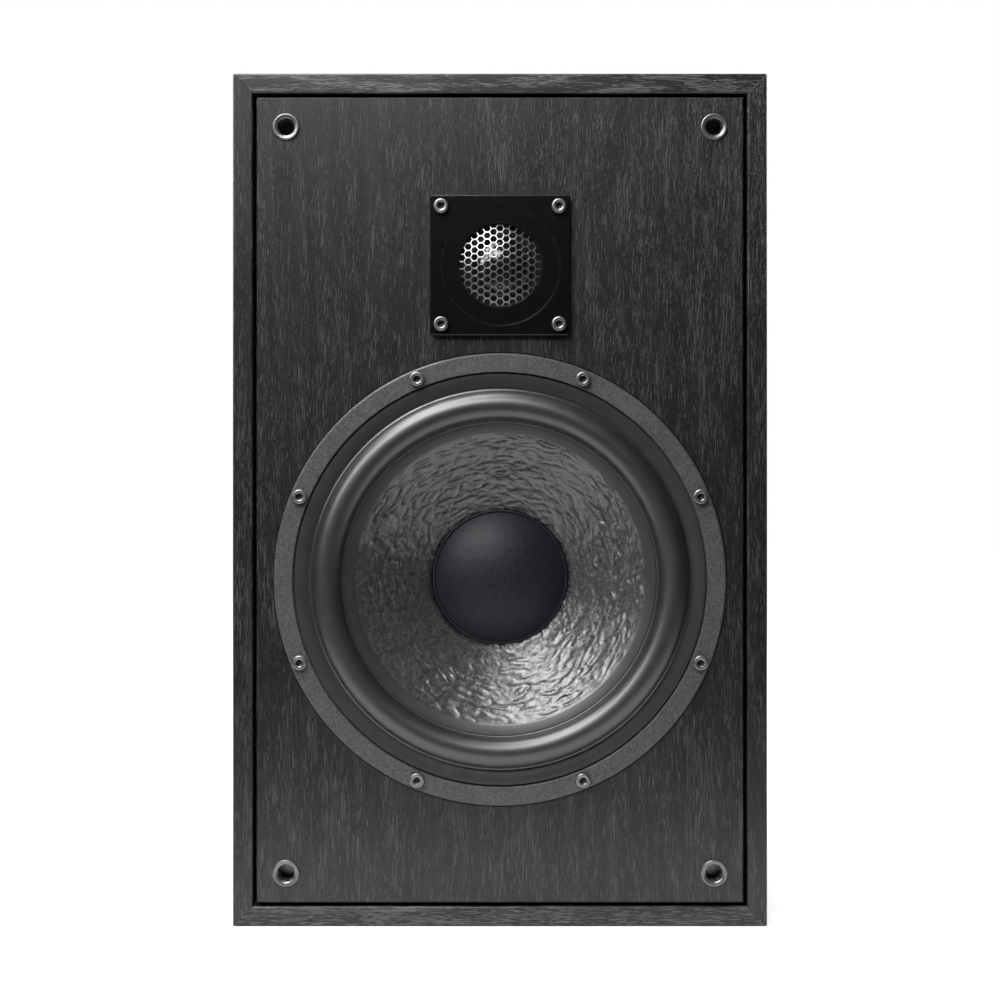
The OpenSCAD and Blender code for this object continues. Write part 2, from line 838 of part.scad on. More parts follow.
module woofer_spider() {
  waves = 5;
  steps = 8;
  sheet = 0.8;
  start = neck_r + 5;
  stop = shelf_in_r - 2;
  top = [for (i = [0:waves * steps])
    [start + (stop - start) * i / (waves * steps), shelf_z + sheet + 1.6 * sin(360 * i / steps)]];
  low = [for (p = top) [p[0], p[1] - sheet]];
  color([0.62, 0.50, 0.28])
    woofer_place()
      rotate_extrude()
        polygon(concat(
          [[neck_r, shelf_z + sheet]], top,
          [[shelf_out_r - 1.6, shelf_z + sheet], [shelf_out_r - 1.6, shelf_z]],
          reversed(low), [[neck_r, shelf_z]]
        ));
}

module woofer_top_plate() {
  color(steel)
    woofer_place()
      tube(shelf_out_r - 2, plate_in_r, magnet_z, motor_z);
}

module woofer_magnet() {
  color(ferrite)
    woofer_place()
      tube(magnet_d / 2, plate_in_r + 10, yoke_z, magnet_z);
}

module woofer_yoke() {
  back = 8;
  vent_r = 5;
  color(steel)
    woofer_place()
      difference() {
        union() {
          translate([0, 0, yoke_z - back])
            cylinder(r = magnet_d / 2 - 4, h = back);
          translate([0, 0, yoke_z - 0.1])
            cylinder(r = pole_r, h = motor_z - yoke_z + 0.6);
        }
        translate([0, 0, yoke_z - back - eps])
          cylinder(r = vent_r, h = motor_z - yoke_z + back + 2 * eps + 1);
      }
}

// Terminal strip on the basket's lower ear, with a solder tab at each end
module woofer_terminals() {
  y = -shelf_out_r - 12;
  z = shelf_z + 3;
  color(phenolic)
    woofer_place() {
      translate([-lead_x - 4, y - 8, z])
        cube([2 * lead_x + 8, 8, 1.6]);
      for (side = [-1, 1])
        translate([side * lead_x - 2.4, y - 13, z + 1.6])
          cube([4.8, 18, 0.8]);
    }
}

// Braided leads from the cone's back out through the windows to the tabs
module woofer_tinsel_leads() {
  r0 = neck_r + 15;
  start_z = cone_z(r0) - cone_t - lead_r - 1.2;
  tab_y = -shelf_out_r - 9;
  tab_z = shelf_z + 5.5 + lead_r;
  sag = (start_z + tab_z) / 2 - 3;
  color([0.78, 0.60, 0.38])
    woofer_place()
      for (side = [-1, 1])
        wire(curve([
            [side * lead_x, -r0 + 2, start_z],
            [side * lead_x, -r0 - 5, start_z - 2.5],
            [side * lead_x, -r0 - 14, sag],
            [side * lead_x, -r0 - 24, sag + 1],
            [side * lead_x, tab_y + 5, tab_z + 2],
            [side * lead_x, tab_y, tab_z]
          ], 3), lead_r);
}

// ---- tweeter ----

module tweeter_faceplate() {
  high = plate_proud - plate_gasket_t;
  corner = 2;
  color(black)
    tweeter_place()
      difference() {
        intersection() {
          round_plate(plate_w, plate_w, corner, plate_gasket_t, plate_proud);
          translate([0, 0, plate_proud - high])
            eased_box(plate_w, plate_w, 2 * high, 0.45);
        }
        translate([0, 0, -eps])
          cylinder(r = plate_bore_r, h = plate_proud + 2 * eps);
        translate([0, 0, plate_proud - step_drop])
          cylinder(r = step_d / 2 - 0.7, h = 1);
        translate([0, 0, plate_proud])
          rotate_extrude()
            polygon([[step_d / 2 - 0.8, 0.1], [step_d / 2 - 0.8, -0.8], [step_d / 2 - 0.5, -0.8],
              [step_d / 2, 0.1]]);
        at_corners(plate_screw_pitch / 2, plate_screw_pitch / 2)
          translate([0, 0, -eps])
            cylinder(r = screw_d / 2 + 0.3, h = plate_proud + 2 * eps);
      }
}

module tweeter_gasket() {
  side = plate_w - 1.2;
  color(black)
    tweeter_place()
      difference() {
        translate([-side / 2, -side / 2, 0])
          cube([side, side, plate_gasket_t]);
        translate([0, 0, -eps])
          cylinder(r = ring_out_r + 0.3, h = 2);
        at_corners(plate_screw_pitch / 2, plate_screw_pitch / 2)
          translate([0, 0, -eps])
            cylinder(r = screw_d / 2 + 0.3, h = 2);
      }
}

// Centres of the mesh's holes that leave a whole rim round them
function mesh_holes(limit) = let (step = mesh_pitch * cos(30), n = ceil(limit / step))
  [for (i = [-n:n]) for (j = [-n:n])
    let (p = [i * step, (j + (i % 2 == 0 ? 0 : 0.5)) * mesh_pitch])
    if (norm(p) < limit) p];

module tweeter_mesh() {
  hole_r = (mesh_pitch - mesh_strand) / 2 * hex;
  ball = (mesh_r * mesh_r + mesh_h * mesh_h) / (2 * mesh_h);
  color(steel)
    tweeter_place() {
      intersection() {
        difference() {
          translate([0, 0, mesh_base + mesh_h - ball])
            sphere(r = ball);
          translate([0, 0, mesh_base + mesh_h - ball])
            sphere(r = ball - mesh_t);
        }
        translate([0, 0, mesh_base])
          linear_extrude(height = mesh_h + 1)
            difference() {
              circle(r = mesh_r - 0.2);
              for (p = mesh_holes(mesh_r - 1.7))
                translate(p)
                  circle(r = hole_r, $fn = 6);
            }
      }
      tube(mesh_r, guard_seat_r, 0.6, mesh_base + 0.1);
    }
}

module tweeter_mount_ring() {
  step_r = mesh_r + 1.4;
  color(black)
    tweeter_place()
      rotate_extrude()
        polygon([[tweeter_roll_r - 0.2, tweeter_motor_z], [ring_out_r, tweeter_motor_z],
          [ring_out_r, plate_gasket_t - glue], [step_r, plate_gasket_t - glue],
          [step_r - 0.8, mount_top], [tweeter_roll_r - 0.2, mount_top]]);
}

module tweeter_surround() {
  mid = tweeter_roll_r - tweeter_roll_w / 2;
  sheet = 0.4;
  low = mount_top;
  top = low + sheet;
  color(rubber)
    tweeter_place()
      rotate_extrude()
        polygon(concat(
          [[mesh_r - 0.9, low], [mesh_r - 0.9, top]],
          arch(mid, tweeter_roll_w / 2, 1.3, top, 12),
          reversed(arch(mid, tweeter_roll_w / 2 - sheet, 1.3 - sheet, low, 12))
        ));
}

module tweeter_dome() {
  sheet = 0.4;
  color(black)
    tweeter_place()
      rotate_extrude()
        polygon(concat(
          [[dome_r, dome_z - 0.4]],
          cap_line(dome_r, dome_h, dome_z, 14),
          reversed(cap_line(dome_r - sheet, dome_h - sheet, dome_z, 14)),
          [[dome_r - sheet, dome_z - 0.4]]
        ));
}

module tweeter_coil() {
  top = dome_z - 0.45;
  color(copper)
    tweeter_place() {
      tube(dome_r - 0.1, dome_r - 0.35, tweeter_motor_z - 5, top);
      tube(dome_r + 0.3, dome_r - 0.1, tweeter_motor_z - 4.4, tweeter_motor_z + 0.4);
    }
}

module tweeter_top_plate() {
  color(steel)
    tweeter_place()
      tube(ring_out_r - 3, dome_r + 0.8, tweeter_magnet_z, tweeter_motor_z);
}

module tweeter_magnet() {
  color(ferrite)
    tweeter_place()
      tube(tweeter_magnet_r, dome_r + 5, tweeter_yoke_z, tweeter_magnet_z);
}

module tweeter_yoke() {
  color(steel)
    tweeter_place() {
      translate([0, 0, tweeter_yoke_z - 4])
        cylinder(r = tweeter_magnet_r - 1, h = 4);
      translate([0, 0, tweeter_yoke_z - 0.1])
        cylinder(r = dome_r - 0.9, h = tweeter_motor_z - tweeter_yoke_z - 0.1);
    }
}

module tweeter_terminals() {
  back = tweeter_yoke_z - 4;
  color(phenolic)
    tweeter_place() {
      translate([-15, -6, back - 1.6])
        cube([30, 12, 1.6]);
      for (side = [-1, 1])
        translate([side * 10 - 2.4, -5, back - 2.4])
          cube([4.8, 10, 0.8]);
    }
}

// ---- crossover ----

module crossover_board() {
  color([0.10, 0.26, 0.16])
    difference() {
      translate([-xo_w / 2, xo_y - xo_l / 2, xo_z])
        cube([xo_w, xo_l, xo_t]);
      translate([0, xo_y, xo_z - eps])
        at_corners(xo_hole_x, xo_hole_y)
          cylinder(r = 1.7, h = xo_t + 2 * eps);
    }
}

module crossover_standoffs() {
  color(cream)
    translate([0, xo_y, 0])
      at_corners(xo_hole_x, xo_hole_y) {
        translate([0, 0, panel_t])
          cylinder(r = 3.5, h = standoff);
        translate([0, 0, xo_z + xo_t])
          cylinder(r = 3, h = 2);
        translate([0, 0, xo_z - 0.1])
          cylinder(r = 1.5, h = xo_t + 0.2);
      }
}

// Children get the two chokes' places; $choke_r and $choke_h are each one's size
module at_chokes() {
  for (c = [[-34, -14, 21, 20], [36, 18, 16, 16]])
    translate([c[0], xo_y + c[1], xo_z + xo_t]) {
      $choke_r = c[2];
      $choke_h = c[3];
      children();
    }
}

module choke_windings() {
  color(copper)
    at_chokes()
      tube($choke_r - 1, $choke_r / 2 + 0.6, 2.1, $choke_h - 2.1);
}

module choke_bobbins() {
  color(black)
    at_chokes()
      rotate_extrude()
        polygon([[$choke_r / 2 - 1, 0], [$choke_r, 0], [$choke_r, 2], [$choke_r / 2 + 0.5, 2],
          [$choke_r / 2 + 0.5, $choke_h - 2], [$choke_r, $choke_h - 2], [$choke_r, $choke_h],
          [$choke_r / 2 - 1, $choke_h]]);
}

module crossover_capacitors() {
  color(cream)
    for (c = [[34, -24, 9, 36], [2, 24, 7, 30], [-36, 26, 6, 26]])
      translate([c[0], xo_y + c[1], xo_z + xo_t + c[2] + 0.1])
        rotate([0, 90, 0])
          cylinder(r = c[2], h = c[3], center = true);
}

module crossover_resistors() {
  block = 9.5;
  color([0.88, 0.87, 0.84])
    for (y = [-2, -16])
      translate([4, xo_y + y, xo_z + xo_t + block / 2])
        eased_box(24, block, block, 0.6);
}

// ---- terminals ----

module terminal_cup() {
  color(black)
    on_back(0, cup_rise)
      difference() {
        union() {
          intersection() {
            round_plate(cup_w, cup_h, cup_corner, cup_gasket_t, cup_top);
            eased_box(cup_w, cup_h, 2 * cup_top, 0.7);
          }
          round_plate(dish_w + 2 * dish_wall, dish_h + 2 * dish_wall, cup_corner / 2,
            dish_z - floor_t, cup_gasket_t + 0.1);
        }
        round_plate(dish_w, dish_h, cup_corner / 2, dish_z, cup_top + eps);
        for (side = [-1, 1])
          translate([side * post_pitch / 2, 0, dish_z - floor_t - eps])
            cylinder(r = collar_hole_r, h = floor_t + 2 * eps);
        at_corners(cup_screw_x, cup_screw_z) {
          translate([0, 0, -eps])
            cylinder(r = cup_screw_r + 0.2, h = cup_top + 2 * eps);
          translate([0, 0, cup_top - cup_screw_sink])
            cylinder(r = cup_head_r + 0.2, h = cup_screw_sink + eps);
        }
      }
}

module terminal_gasket() {
  color(black)
    on_back(0, cup_rise)
      difference() {
        round_plate(cup_w - 1, cup_h - 1, cup_corner, 0, cup_gasket_t);
        round_plate(dish_w + 2 * dish_wall + 0.6, dish_h + 2 * dish_wall + 0.6, cup_corner / 2,
          -eps, cup_gasket_t + eps);
        at_corners(cup_screw_x, cup_screw_z)
          translate([0, 0, -eps])
            cylinder(r = cup_screw_r + 0.2, h = 2);
      }
}

module cup_screws() {
  color(black)
    on_back(0, cup_rise)
      at_corners(cup_screw_x, cup_screw_z)
        translate([0, 0, cup_top - cup_screw_sink])
          pan_screw(cup_head_r, 2, cup_screw_r, cup_screw_len);
}

// The metal stud: a cross hole for bare wire, and a bore in its end for a plug
module post(side) {
  color(gold)
    post_place(side)
      difference() {
        translate([0, 0, post_tail])
          cylinder(r = post_r, h = post_end - post_tail);
        translate([0, 0, banana_floor])
          cylinder(r = banana_r, h = post_end - banana_floor + eps);
        translate([0, 0, wire_hole_z])
          rotate([90, 0, 0])
            cylinder(r = wire_hole_r, h = post_d + 2, center = true);
      }
}

module red_post() post(-1);
module black_post() post(1);

// The insulating collar: a washer under the knob and a sleeve through the floor
module collar(side, shade) {
  color(shade)
    post_place(side) {
      tube(knob_r + 0.2, post_r + thread_fit, dish_z, collar_z);
      tube(collar_hole_r - 0.1, post_r + thread_fit, dish_z - floor_t, dish_z + 0.1);
    }
}

module red_collar() collar(-1, knob_red);
module black_collar() collar(1, knob_black);

module post_lock_nuts() {
  across = post_d + 4;
  top = dish_z - floor_t;
  color(gold)
    for (side = [-1, 1])
      post_place(side)
        difference() {
          translate([0, 0, top - 3])
            cylinder(d = across * hex, h = 3, $fn = 6);
          translate([0, 0, top - 4])
            cylinder(r = post_r + thread_fit, h = 5);
        }
}

// The threaded sleeve that runs along the stud inside a knob
module nut(side) {
  color(gold)
    post_place(side)
      tube(nut_r, post_r + thread_fit, knob_z + 0.2, knob_z + 0.2 + nut_len);
}

module red_nut() nut(-1);
module black_nut() nut(1);

module knob(side, shade) {
  ease = 0.7;
  grooves = 14;
  turn_r = nut_r + thread_fit;
  bore_r = post_r + 0.4;
  shoulder = knob_z + nut_len + 0.4;
  mouth_r = banana_r + 0.6;
  color(shade)
    post_place(side)
      difference() {
        rotate_extrude()
          polygon([
            [turn_r, knob_z], [knob_r - ease, knob_z], [knob_r, knob_z + ease],
            [knob_r, knob_end - ease], [knob_r - ease, knob_end], [mouth_r + 0.4, knob_end],
            [mouth_r, knob_end - 0.4], [mouth_r, post_end + 0.25], [bore_r, post_end + 0.25],
            [bore_r, shoulder], [turn_r, shoulder]
          ]);
        round_circle(knob_r + 0.35, grooves)
          translate([0, 0, knob_z + 2.5])
            cylinder(r = 0.8, h = knob_len, $fn = 24);
      }
}

module red_knob() knob(-1, knob_red);
module black_knob() knob(1, knob_black);

// ---- internal wiring: input to crossover, crossover to woofer, crossover to tweeter ----

module wiring(side) {
  woofer_tab = [side * lead_x, face_y - shelf_z - 4.7, woofer_z - shelf_out_r - 26];
  tweeter_tab = [side * 10, face_y - tweeter_yoke_z + 7.8, tweeter_z];
  board_top = xo_z + xo_t + wire_r + 0.2;
  post_x = side * post_pitch / 2;
  post_back = panel_y + post_tail - 2;
  wire(curve([
      [post_x, post_back, cup_rise], [post_x, post_back - 10, cup_rise - 2],
      [post_x * 1.4, post_back - 16, cup_rise - 20], [post_x * 1.6, post_back - 12, 75],
      [post_x * 1.6, post_back - 16, 52], [post_x * 1.6, xo_y + 14, board_top + 26]
    ], 4), wire_r);
  wire(curve([
      woofer_tab, woofer_tab + [0, 4, -8], [side * 20, woofer_tab[1] + 16, 60],
      [side * 26, xo_y - xo_l / 2 - 20, 50], [side * 27, xo_y - xo_l / 2 - 8, 48],
      [side * 27, xo_y - xo_l / 2 + 4, board_top + 24]
    ], 4), wire_r);
  wire(curve([
      tweeter_tab, tweeter_tab + [side * 4, 10, -4], [side * 40, tweeter_tab[1] + 40, tweeter_z - 14],
      [side * 60, 20, brace_z + 10], [side * 66, 30, brace_z - 20], [side * 70, 40, 200],
      [side * 70, 50, 120], [side * 66, xo_y, 70], [side * 60, xo_y + 4, board_top + 24]
    ], 4), wire_r);
}

module red_wires() color(knob_red) wiring(-1);
module black_wires() color(knob_black) wiring(1);

left_board();
right_board();
top_board();
bottom_board();
baffle();
back_panel();
window_brace();
front_cleats();
rear_cleats();
side_wadding();
top_wadding();
back_screws();
grille_sockets();
threaded_inserts();
woofer_basket();
woofer_gasket();
woofer_surround();
woofer_cone();
woofer_dust_cap();
woofer_former();
woofer_coil();
woofer_spider();
woofer_top_plate();
woofer_magnet();
woofer_yoke();
woofer_terminals();
woofer_tinsel_leads();
woofer_screws();
tweeter_faceplate();
tweeter_gasket();
tweeter_mesh();
tweeter_mount_ring();
tweeter_surround();
tweeter_dome();
tweeter_coil();
tweeter_top_plate();
tweeter_magnet();
tweeter_yoke();
tweeter_terminals();
tweeter_screws();
crossover_board();
crossover_standoffs();
choke_windings();
choke_bobbins();
crossover_capacitors();
crossover_resistors();
terminal_cup();
terminal_gasket();
cup_screws();
post_lock_nuts();
red_post();
black_post();
red_collar();
black_collar();
red_nut();
black_nut();
red_knob();
black_knob();
red_wires();
black_wires();
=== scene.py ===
import json
import math
import bmesh
import bpy
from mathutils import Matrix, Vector, noise
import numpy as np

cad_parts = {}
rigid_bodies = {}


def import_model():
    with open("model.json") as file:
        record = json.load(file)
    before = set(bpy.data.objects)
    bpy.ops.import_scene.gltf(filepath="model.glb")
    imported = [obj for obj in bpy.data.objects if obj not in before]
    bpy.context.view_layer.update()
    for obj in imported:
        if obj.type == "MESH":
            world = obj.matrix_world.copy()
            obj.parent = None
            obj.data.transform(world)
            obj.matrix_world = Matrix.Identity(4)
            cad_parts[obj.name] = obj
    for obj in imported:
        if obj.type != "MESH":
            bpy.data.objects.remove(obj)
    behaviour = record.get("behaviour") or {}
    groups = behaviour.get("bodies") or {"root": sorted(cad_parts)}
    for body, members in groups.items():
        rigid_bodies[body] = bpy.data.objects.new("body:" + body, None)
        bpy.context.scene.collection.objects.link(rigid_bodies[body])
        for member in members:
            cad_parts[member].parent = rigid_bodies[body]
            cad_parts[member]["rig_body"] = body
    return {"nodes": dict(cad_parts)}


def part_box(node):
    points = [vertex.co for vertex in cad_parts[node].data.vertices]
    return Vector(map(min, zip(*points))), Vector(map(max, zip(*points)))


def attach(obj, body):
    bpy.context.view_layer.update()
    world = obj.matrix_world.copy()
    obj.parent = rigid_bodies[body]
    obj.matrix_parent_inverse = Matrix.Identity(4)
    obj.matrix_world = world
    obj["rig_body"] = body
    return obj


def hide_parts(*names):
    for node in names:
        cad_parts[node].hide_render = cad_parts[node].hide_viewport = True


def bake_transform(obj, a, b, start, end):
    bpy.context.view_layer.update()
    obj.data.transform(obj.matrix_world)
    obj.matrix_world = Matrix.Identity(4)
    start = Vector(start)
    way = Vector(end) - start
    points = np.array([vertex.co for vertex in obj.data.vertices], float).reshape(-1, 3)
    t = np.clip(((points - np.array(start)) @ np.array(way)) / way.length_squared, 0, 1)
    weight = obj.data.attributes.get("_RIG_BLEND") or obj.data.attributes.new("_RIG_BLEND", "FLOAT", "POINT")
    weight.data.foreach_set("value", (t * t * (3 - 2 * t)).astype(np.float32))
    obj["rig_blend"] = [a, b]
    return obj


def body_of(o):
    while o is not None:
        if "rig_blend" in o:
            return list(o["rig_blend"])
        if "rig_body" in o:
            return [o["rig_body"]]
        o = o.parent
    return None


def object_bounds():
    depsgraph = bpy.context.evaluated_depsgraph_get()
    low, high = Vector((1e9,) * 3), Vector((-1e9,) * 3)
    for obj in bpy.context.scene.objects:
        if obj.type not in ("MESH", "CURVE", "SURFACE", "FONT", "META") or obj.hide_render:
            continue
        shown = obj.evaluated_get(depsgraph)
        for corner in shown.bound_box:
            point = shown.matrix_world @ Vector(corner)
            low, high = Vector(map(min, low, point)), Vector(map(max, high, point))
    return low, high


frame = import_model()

mm = 0.001
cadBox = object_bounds()
nodes = frame["nodes"]


def middle(node):
    low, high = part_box(node)
    return (low + high) / 2


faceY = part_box("baffle")[0].y          # the baffle's face
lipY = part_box("left_board")[0].y       # front edges of the cabinet boards
wooferAt = Vector((0, faceY, middle("woofer_cone").z))
tweeterAt = Vector((0, faceY, middle("tweeter_dome").z))
cabinet, cone, dome = "cabinet", "woofer_diaphragm", "tweeter_diaphragm"

# Camera, square on to the baffle; lengths in metres
cameraLook = {"distance": 0.90, "width": 0.477, "near": 0.01, "height": middle("left_board").z}
camera = bpy.data.objects.new("camera", bpy.data.cameras.new("camera"))
bpy.context.scene.collection.objects.link(camera)
camera.data.lens = camera.data.sensor_width * cameraLook["distance"] / cameraLook["width"]
camera.location = (0, lipY - cameraLook["distance"], cameraLook["height"])
camera.rotation_euler = (math.pi / 2, 0, 0)
camera.data.clip_start = cameraLook["near"]
bpy.context.scene.camera = camera

# Area lamps round the cabinet: place, target and size in metres
lampLook = {
    "keyBox": {"at": (-0.34, -0.93, 0.98), "to": (-0.02, -0.14, 0.26),
               "size": (0.72, 0.44), "watts": 12.6},
    "leftSpot": {"at": (-0.92, -0.91, 0.78), "to": (0, -0.14, 0.24),
                 "size": (0.3, 0.3), "watts": 4.0},
    "topBox": {"at": (-0.40, -0.36, 1.06), "to": (0, -0.14, 0.17),
               "size": (0.5, 0.4), "watts": 6.5},
    "edgeStrip": {"at": (-0.14, -0.19, 1.25), "to": (-0.02, -0.14, 0.25),
                  "size": (0.55, 0.14), "watts": 3.6},
    "rightBox": {"at": (1.1, 0.32, 0.75), "to": (0, 0.15, 0.2),
                 "size": (0.6, 0.7), "watts": 9.0},
    "leftBox": {"at": (-1.1, 0.32, 0.75), "to": (0, 0.15, 0.2),
                "size": (0.6, 0.7), "watts": 9.0},
    "rearBox": {"at": (0.45, 1.25, 0.85), "to": (0, 0.1, 0.2),
                "size": (0.9, 0.6), "watts": 16.0},
}


def addLamp(name, look):
    light = bpy.data.lights.new(name, "AREA")
    light.shape = "RECTANGLE"
    light.size, light.size_y = look["size"]
    light.energy = look["watts"]
    lamp = bpy.data.objects.new(name, light)
    lamp.location = look["at"]
    lamp.rotation_euler = (Vector(look["to"]) - lamp.location).to_track_quat("-Z", "Y").to_euler()
    lamp.visible_camera = False
    bpy.context.scene.collection.objects.link(lamp)


for name, look in lampLook.items():
    addLamp(name, look)

bpy.context.scene.view_settings.view_transform = "Standard"


# Fills a node's inputs: a socket is linked, any other value is set on the input itself
def wire(tree, made, inputs):
    for key, value in inputs.items():
        if isinstance(value, bpy.types.NodeSocket):
            tree.links.new(value, made.inputs[key])
        else:
            made.inputs[key].default_value = value
    return made


def put(tree, kind, inputs=None, **settings):
    made = tree.nodes.new("ShaderNode" + kind)
    for key, value in settings.items():
        setattr(made, key, value)
    return wire(tree, made, inputs or {})


def calc(tree, operation, first, second=0.0, clamp=False):
    return put(tree, "Math", {0: first, 1: second}, operation=operation, use_clamp=clamp).outputs[0]


def remap(tree, value, low, high, toLow=0.0, toHigh=1.0):
    return put(tree, "MapRange", {0: value, 1: low, 2: high, 3: toLow, 4: toHigh}).outputs[0]


def blendColour(tree, factor, first, second):
    made = put(tree, "Mix", {0: factor}, data_type="RGBA")
    for index, value in ((6, first), (7, second)):
        if isinstance(value, bpy.types.NodeSocket):
            tree.links.new(value, made.inputs[index])
        else:
            made.inputs[index].default_value = (*value, 1)
    return made.outputs[2]


def noiseAt(tree, vector, size, detail=2.0, roughness=0.5, stretch=(1, 1, 1)):
    scale = [1 / (size * mm * s) for s in stretch]
    placed = put(tree, "Mapping", {"Vector": vector, "Scale": scale}).outputs[0]
    inputs = {"Vector": placed, "Scale": 1.0, "Detail": detail, "Roughness": roughness}
    return put(tree, "TexNoise", inputs).outputs[0]


def newGroup(name, inputs, outputs):
    group = bpy.data.node_groups.new(name, "ShaderNodeTree")
    for label, kind, value in inputs:
        socket = group.interface.new_socket(label, in_out="INPUT", socket_type="NodeSocket" + kind)
        if value is not None:
            socket.default_value = value
    for label in outputs:
        group.interface.new_socket(label, in_out="OUTPUT", socket_type="NodeSocketFloat")
    return group, group.nodes.new("NodeGroupInput").outputs, group.nodes.new("NodeGroupOutput").inputs


def place(tree, group, inputs):
    made = tree.nodes.new("ShaderNodeGroup")
    made.node_tree = group
    return wire(tree, made, inputs).outputs


# The sum of two values, each times its share
def mixOf(tree, first, share, second, otherShare):
    return calc(tree, "ADD", calc(tree, "MULTIPLY", first, share), calc(tree, "MULTIPLY", second, otherShare))


# Open-pored ash grain that runs along Z: pores, slow streaks and the height they leave.
# Each pair is a size across the grain, in mm, and how many times longer it is along it
grainLook = {"wander": (26, 3), "sway": 0.006, "long": (0.42, 22), "short": (0.36, 8), "patches": (9, 9),
             "clumps": (3.4, 11), "clumpRange": (0.40, 0.60), "streaks": (5.5, 14), "relief": (0.3, 9),
             "limit": 0.74, "evenShare": 0.14, "patchShare": 0.24, "longEdge": 0.06, "shortEdge": 0.07,
             "shortTone": 0.55, "poreDepth": 1.6}
grainGroup, into, out = newGroup(
    "ash grain",
    [("Vector", "Vector", None), ("Pore Amount", "Float", 0.5), ("Wander", "Float", 1.0),
     ("Patchiness", "Float", 0.0)],
    ["Pores", "Streaks", "Height"])
g = grainGroup


def figure(kind, vector, detail, roughness=0.5):
    size, stretch = grainLook[kind]
    return noiseAt(grainGroup, vector, size, detail, roughness, (1, 1, stretch))


wander = calc(g, "MULTIPLY", calc(g, "SUBTRACT", figure("wander", into[0], 1), 0.5),
              calc(g, "MULTIPLY", into[2], grainLook["sway"]))
bent = put(g, "VectorMath", {0: into[0], 1: put(g, "CombineXYZ", {0: wander, 1: wander}).outputs[0]},
           operation="ADD").outputs[0]
clumps = remap(g, figure("clumps", bent, 2), *grainLook["clumpRange"], -0.5, 0.5)
clumps = calc(g, "MULTIPLY", clumps, into[3])
share = calc(g, "ADD", figure("patches", bent, 2, 0.55), clumps)
share = calc(g, "ADD", grainLook["evenShare"], calc(g, "MULTIPLY", share, grainLook["patchShare"]))
limit = calc(g, "SUBTRACT", grainLook["limit"], calc(g, "MULTIPLY", into[1], share))
poresLong = remap(g, calc(g, "SUBTRACT", figure("long", bent, 2), limit), 0.0, grainLook["longEdge"])
poresShort = remap(g, calc(g, "SUBTRACT", figure("short", bent, 2), limit), 0.0, grainLook["shortEdge"])
pores = calc(g, "MAXIMUM", poresLong, calc(g, "MULTIPLY", poresShort, grainLook["shortTone"]))
g.links.new(pores, out[0])
g.links.new(figure("streaks", bent, 3, 0.55), out[1])
relief = calc(g, "SUBTRACT", figure("relief", bent, 1), calc(g, "MULTIPLY", pores, grainLook["poreDepth"]))
g.links.new(relief, out[2])

# Fine speckle of paint, moulded skin or cast metal at a given size in metres
speckleLook = {"broad": 0.035, "broadHeight": 0.5}
speckleGroup, into, out = newGroup(
    "fine speckle", [("Vector", "Vector", None), ("Size", "Float", 0.0004)],
    ["Value", "Broad", "Height"])
g = speckleGroup
shrunk = put(g, "VectorMath", {0: into[0], 3: calc(g, "DIVIDE", 1.0, into[1])},
             operation="SCALE").outputs[0]
fine = put(g, "TexNoise", {"Vector": shrunk, "Scale": 1.0, "Detail": 2.0}).outputs[0]
broad = put(g, "TexNoise", {"Vector": shrunk, "Scale": speckleLook["broad"], "Detail": 3.0}).outputs[0]
g.links.new(fine, out[0])
g.links.new(broad, out[1])
g.links.new(calc(g, "ADD", fine, calc(g, "MULTIPLY", broad, speckleLook["broadHeight"])), out[2])

# Outer edges where handling has rubbed the finish; turn is the bend that counts as an edge
wearLook = {"samples": 4, "turn": (0.995, 0.86), "patch": 3.2, "patchRange": (0.38, 0.62), "least": 0.25}
wearGroup, into, out = newGroup(
    "edge wear", [("Vector", "Vector", None), ("Radius", "Float", 0.0004), ("Amount", "Float", 0.5)],
    ["Mask"])
g = wearGroup
rounded = put(g, "Bevel", {"Radius": into[1]}, samples=wearLook["samples"]).outputs[0]
flat = put(g, "NewGeometry").outputs["Normal"]
turned = put(g, "VectorMath", {0: rounded, 1: flat}, operation="DOT_PRODUCT").outputs["Value"]
edge = remap(g, turned, *wearLook["turn"])
rubbed = noiseAt(g, into[0], wearLook["patch"], 3, 0.6)
rubbed = remap(g, rubbed, *wearLook["patchRange"], wearLook["least"], 1.0)
g.links.new(calc(g, "MULTIPLY", calc(g, "MULTIPLY", edge, rubbed), into[2], clamp=True), out[0])

# Light settled dust, thicker on faces that look up
dustLook = {"sides": 0.12, "cloud": 9, "cloudRange": (0.35, 0.75)}
dustGroup, into, out = newGroup(
    "settled dust", [("Vector", "Vector", None), ("Amount", "Float", 0.1)], ["Mask"])
g = dustGroup
up = put(g, "SeparateXYZ", {0: put(g, "NewGeometry").outputs["Normal"]}).outputs[2]
lying = remap(g, up, -0.2, 1.0, dustLook["sides"], 1.0)
cloud = remap(g, noiseAt(g, into[0], dustLook["cloud"], 4, 0.7), *dustLook["cloudRange"])
g.links.new(calc(g, "MULTIPLY", calc(g, "MULTIPLY", lying, cloud), into[1], clamp=True), out[0])


def newMaterial(name):
    material = bpy.data.materials.new(name)
    material.use_nodes = True
    tree = material.node_tree
    shader = tree.nodes["Principled BSDF"]
    return material, tree, shader, put(tree, "TexCoord").outputs["Object"]


def bumpTo(tree, shader, height, distance, strength=1.0):
    bump = put(tree, "Bump", {"Strength": strength, "Distance": distance * mm, "Height": height})
    tree.links.new(bump.outputs[0], shader.inputs["Normal"])


# What a finish has when its own settings don't say; lengths in mm
finishBase = {"speck": 0.4, "fineTone": 0.5, "bump": 0.02, "wearWidth": 0.4, "toneRange": (0.3, 0.7),
              "roughRange": (0.25, 0.75), "dustTone": (0.32, 0.31, 0.29), "dustRough": 0.5}


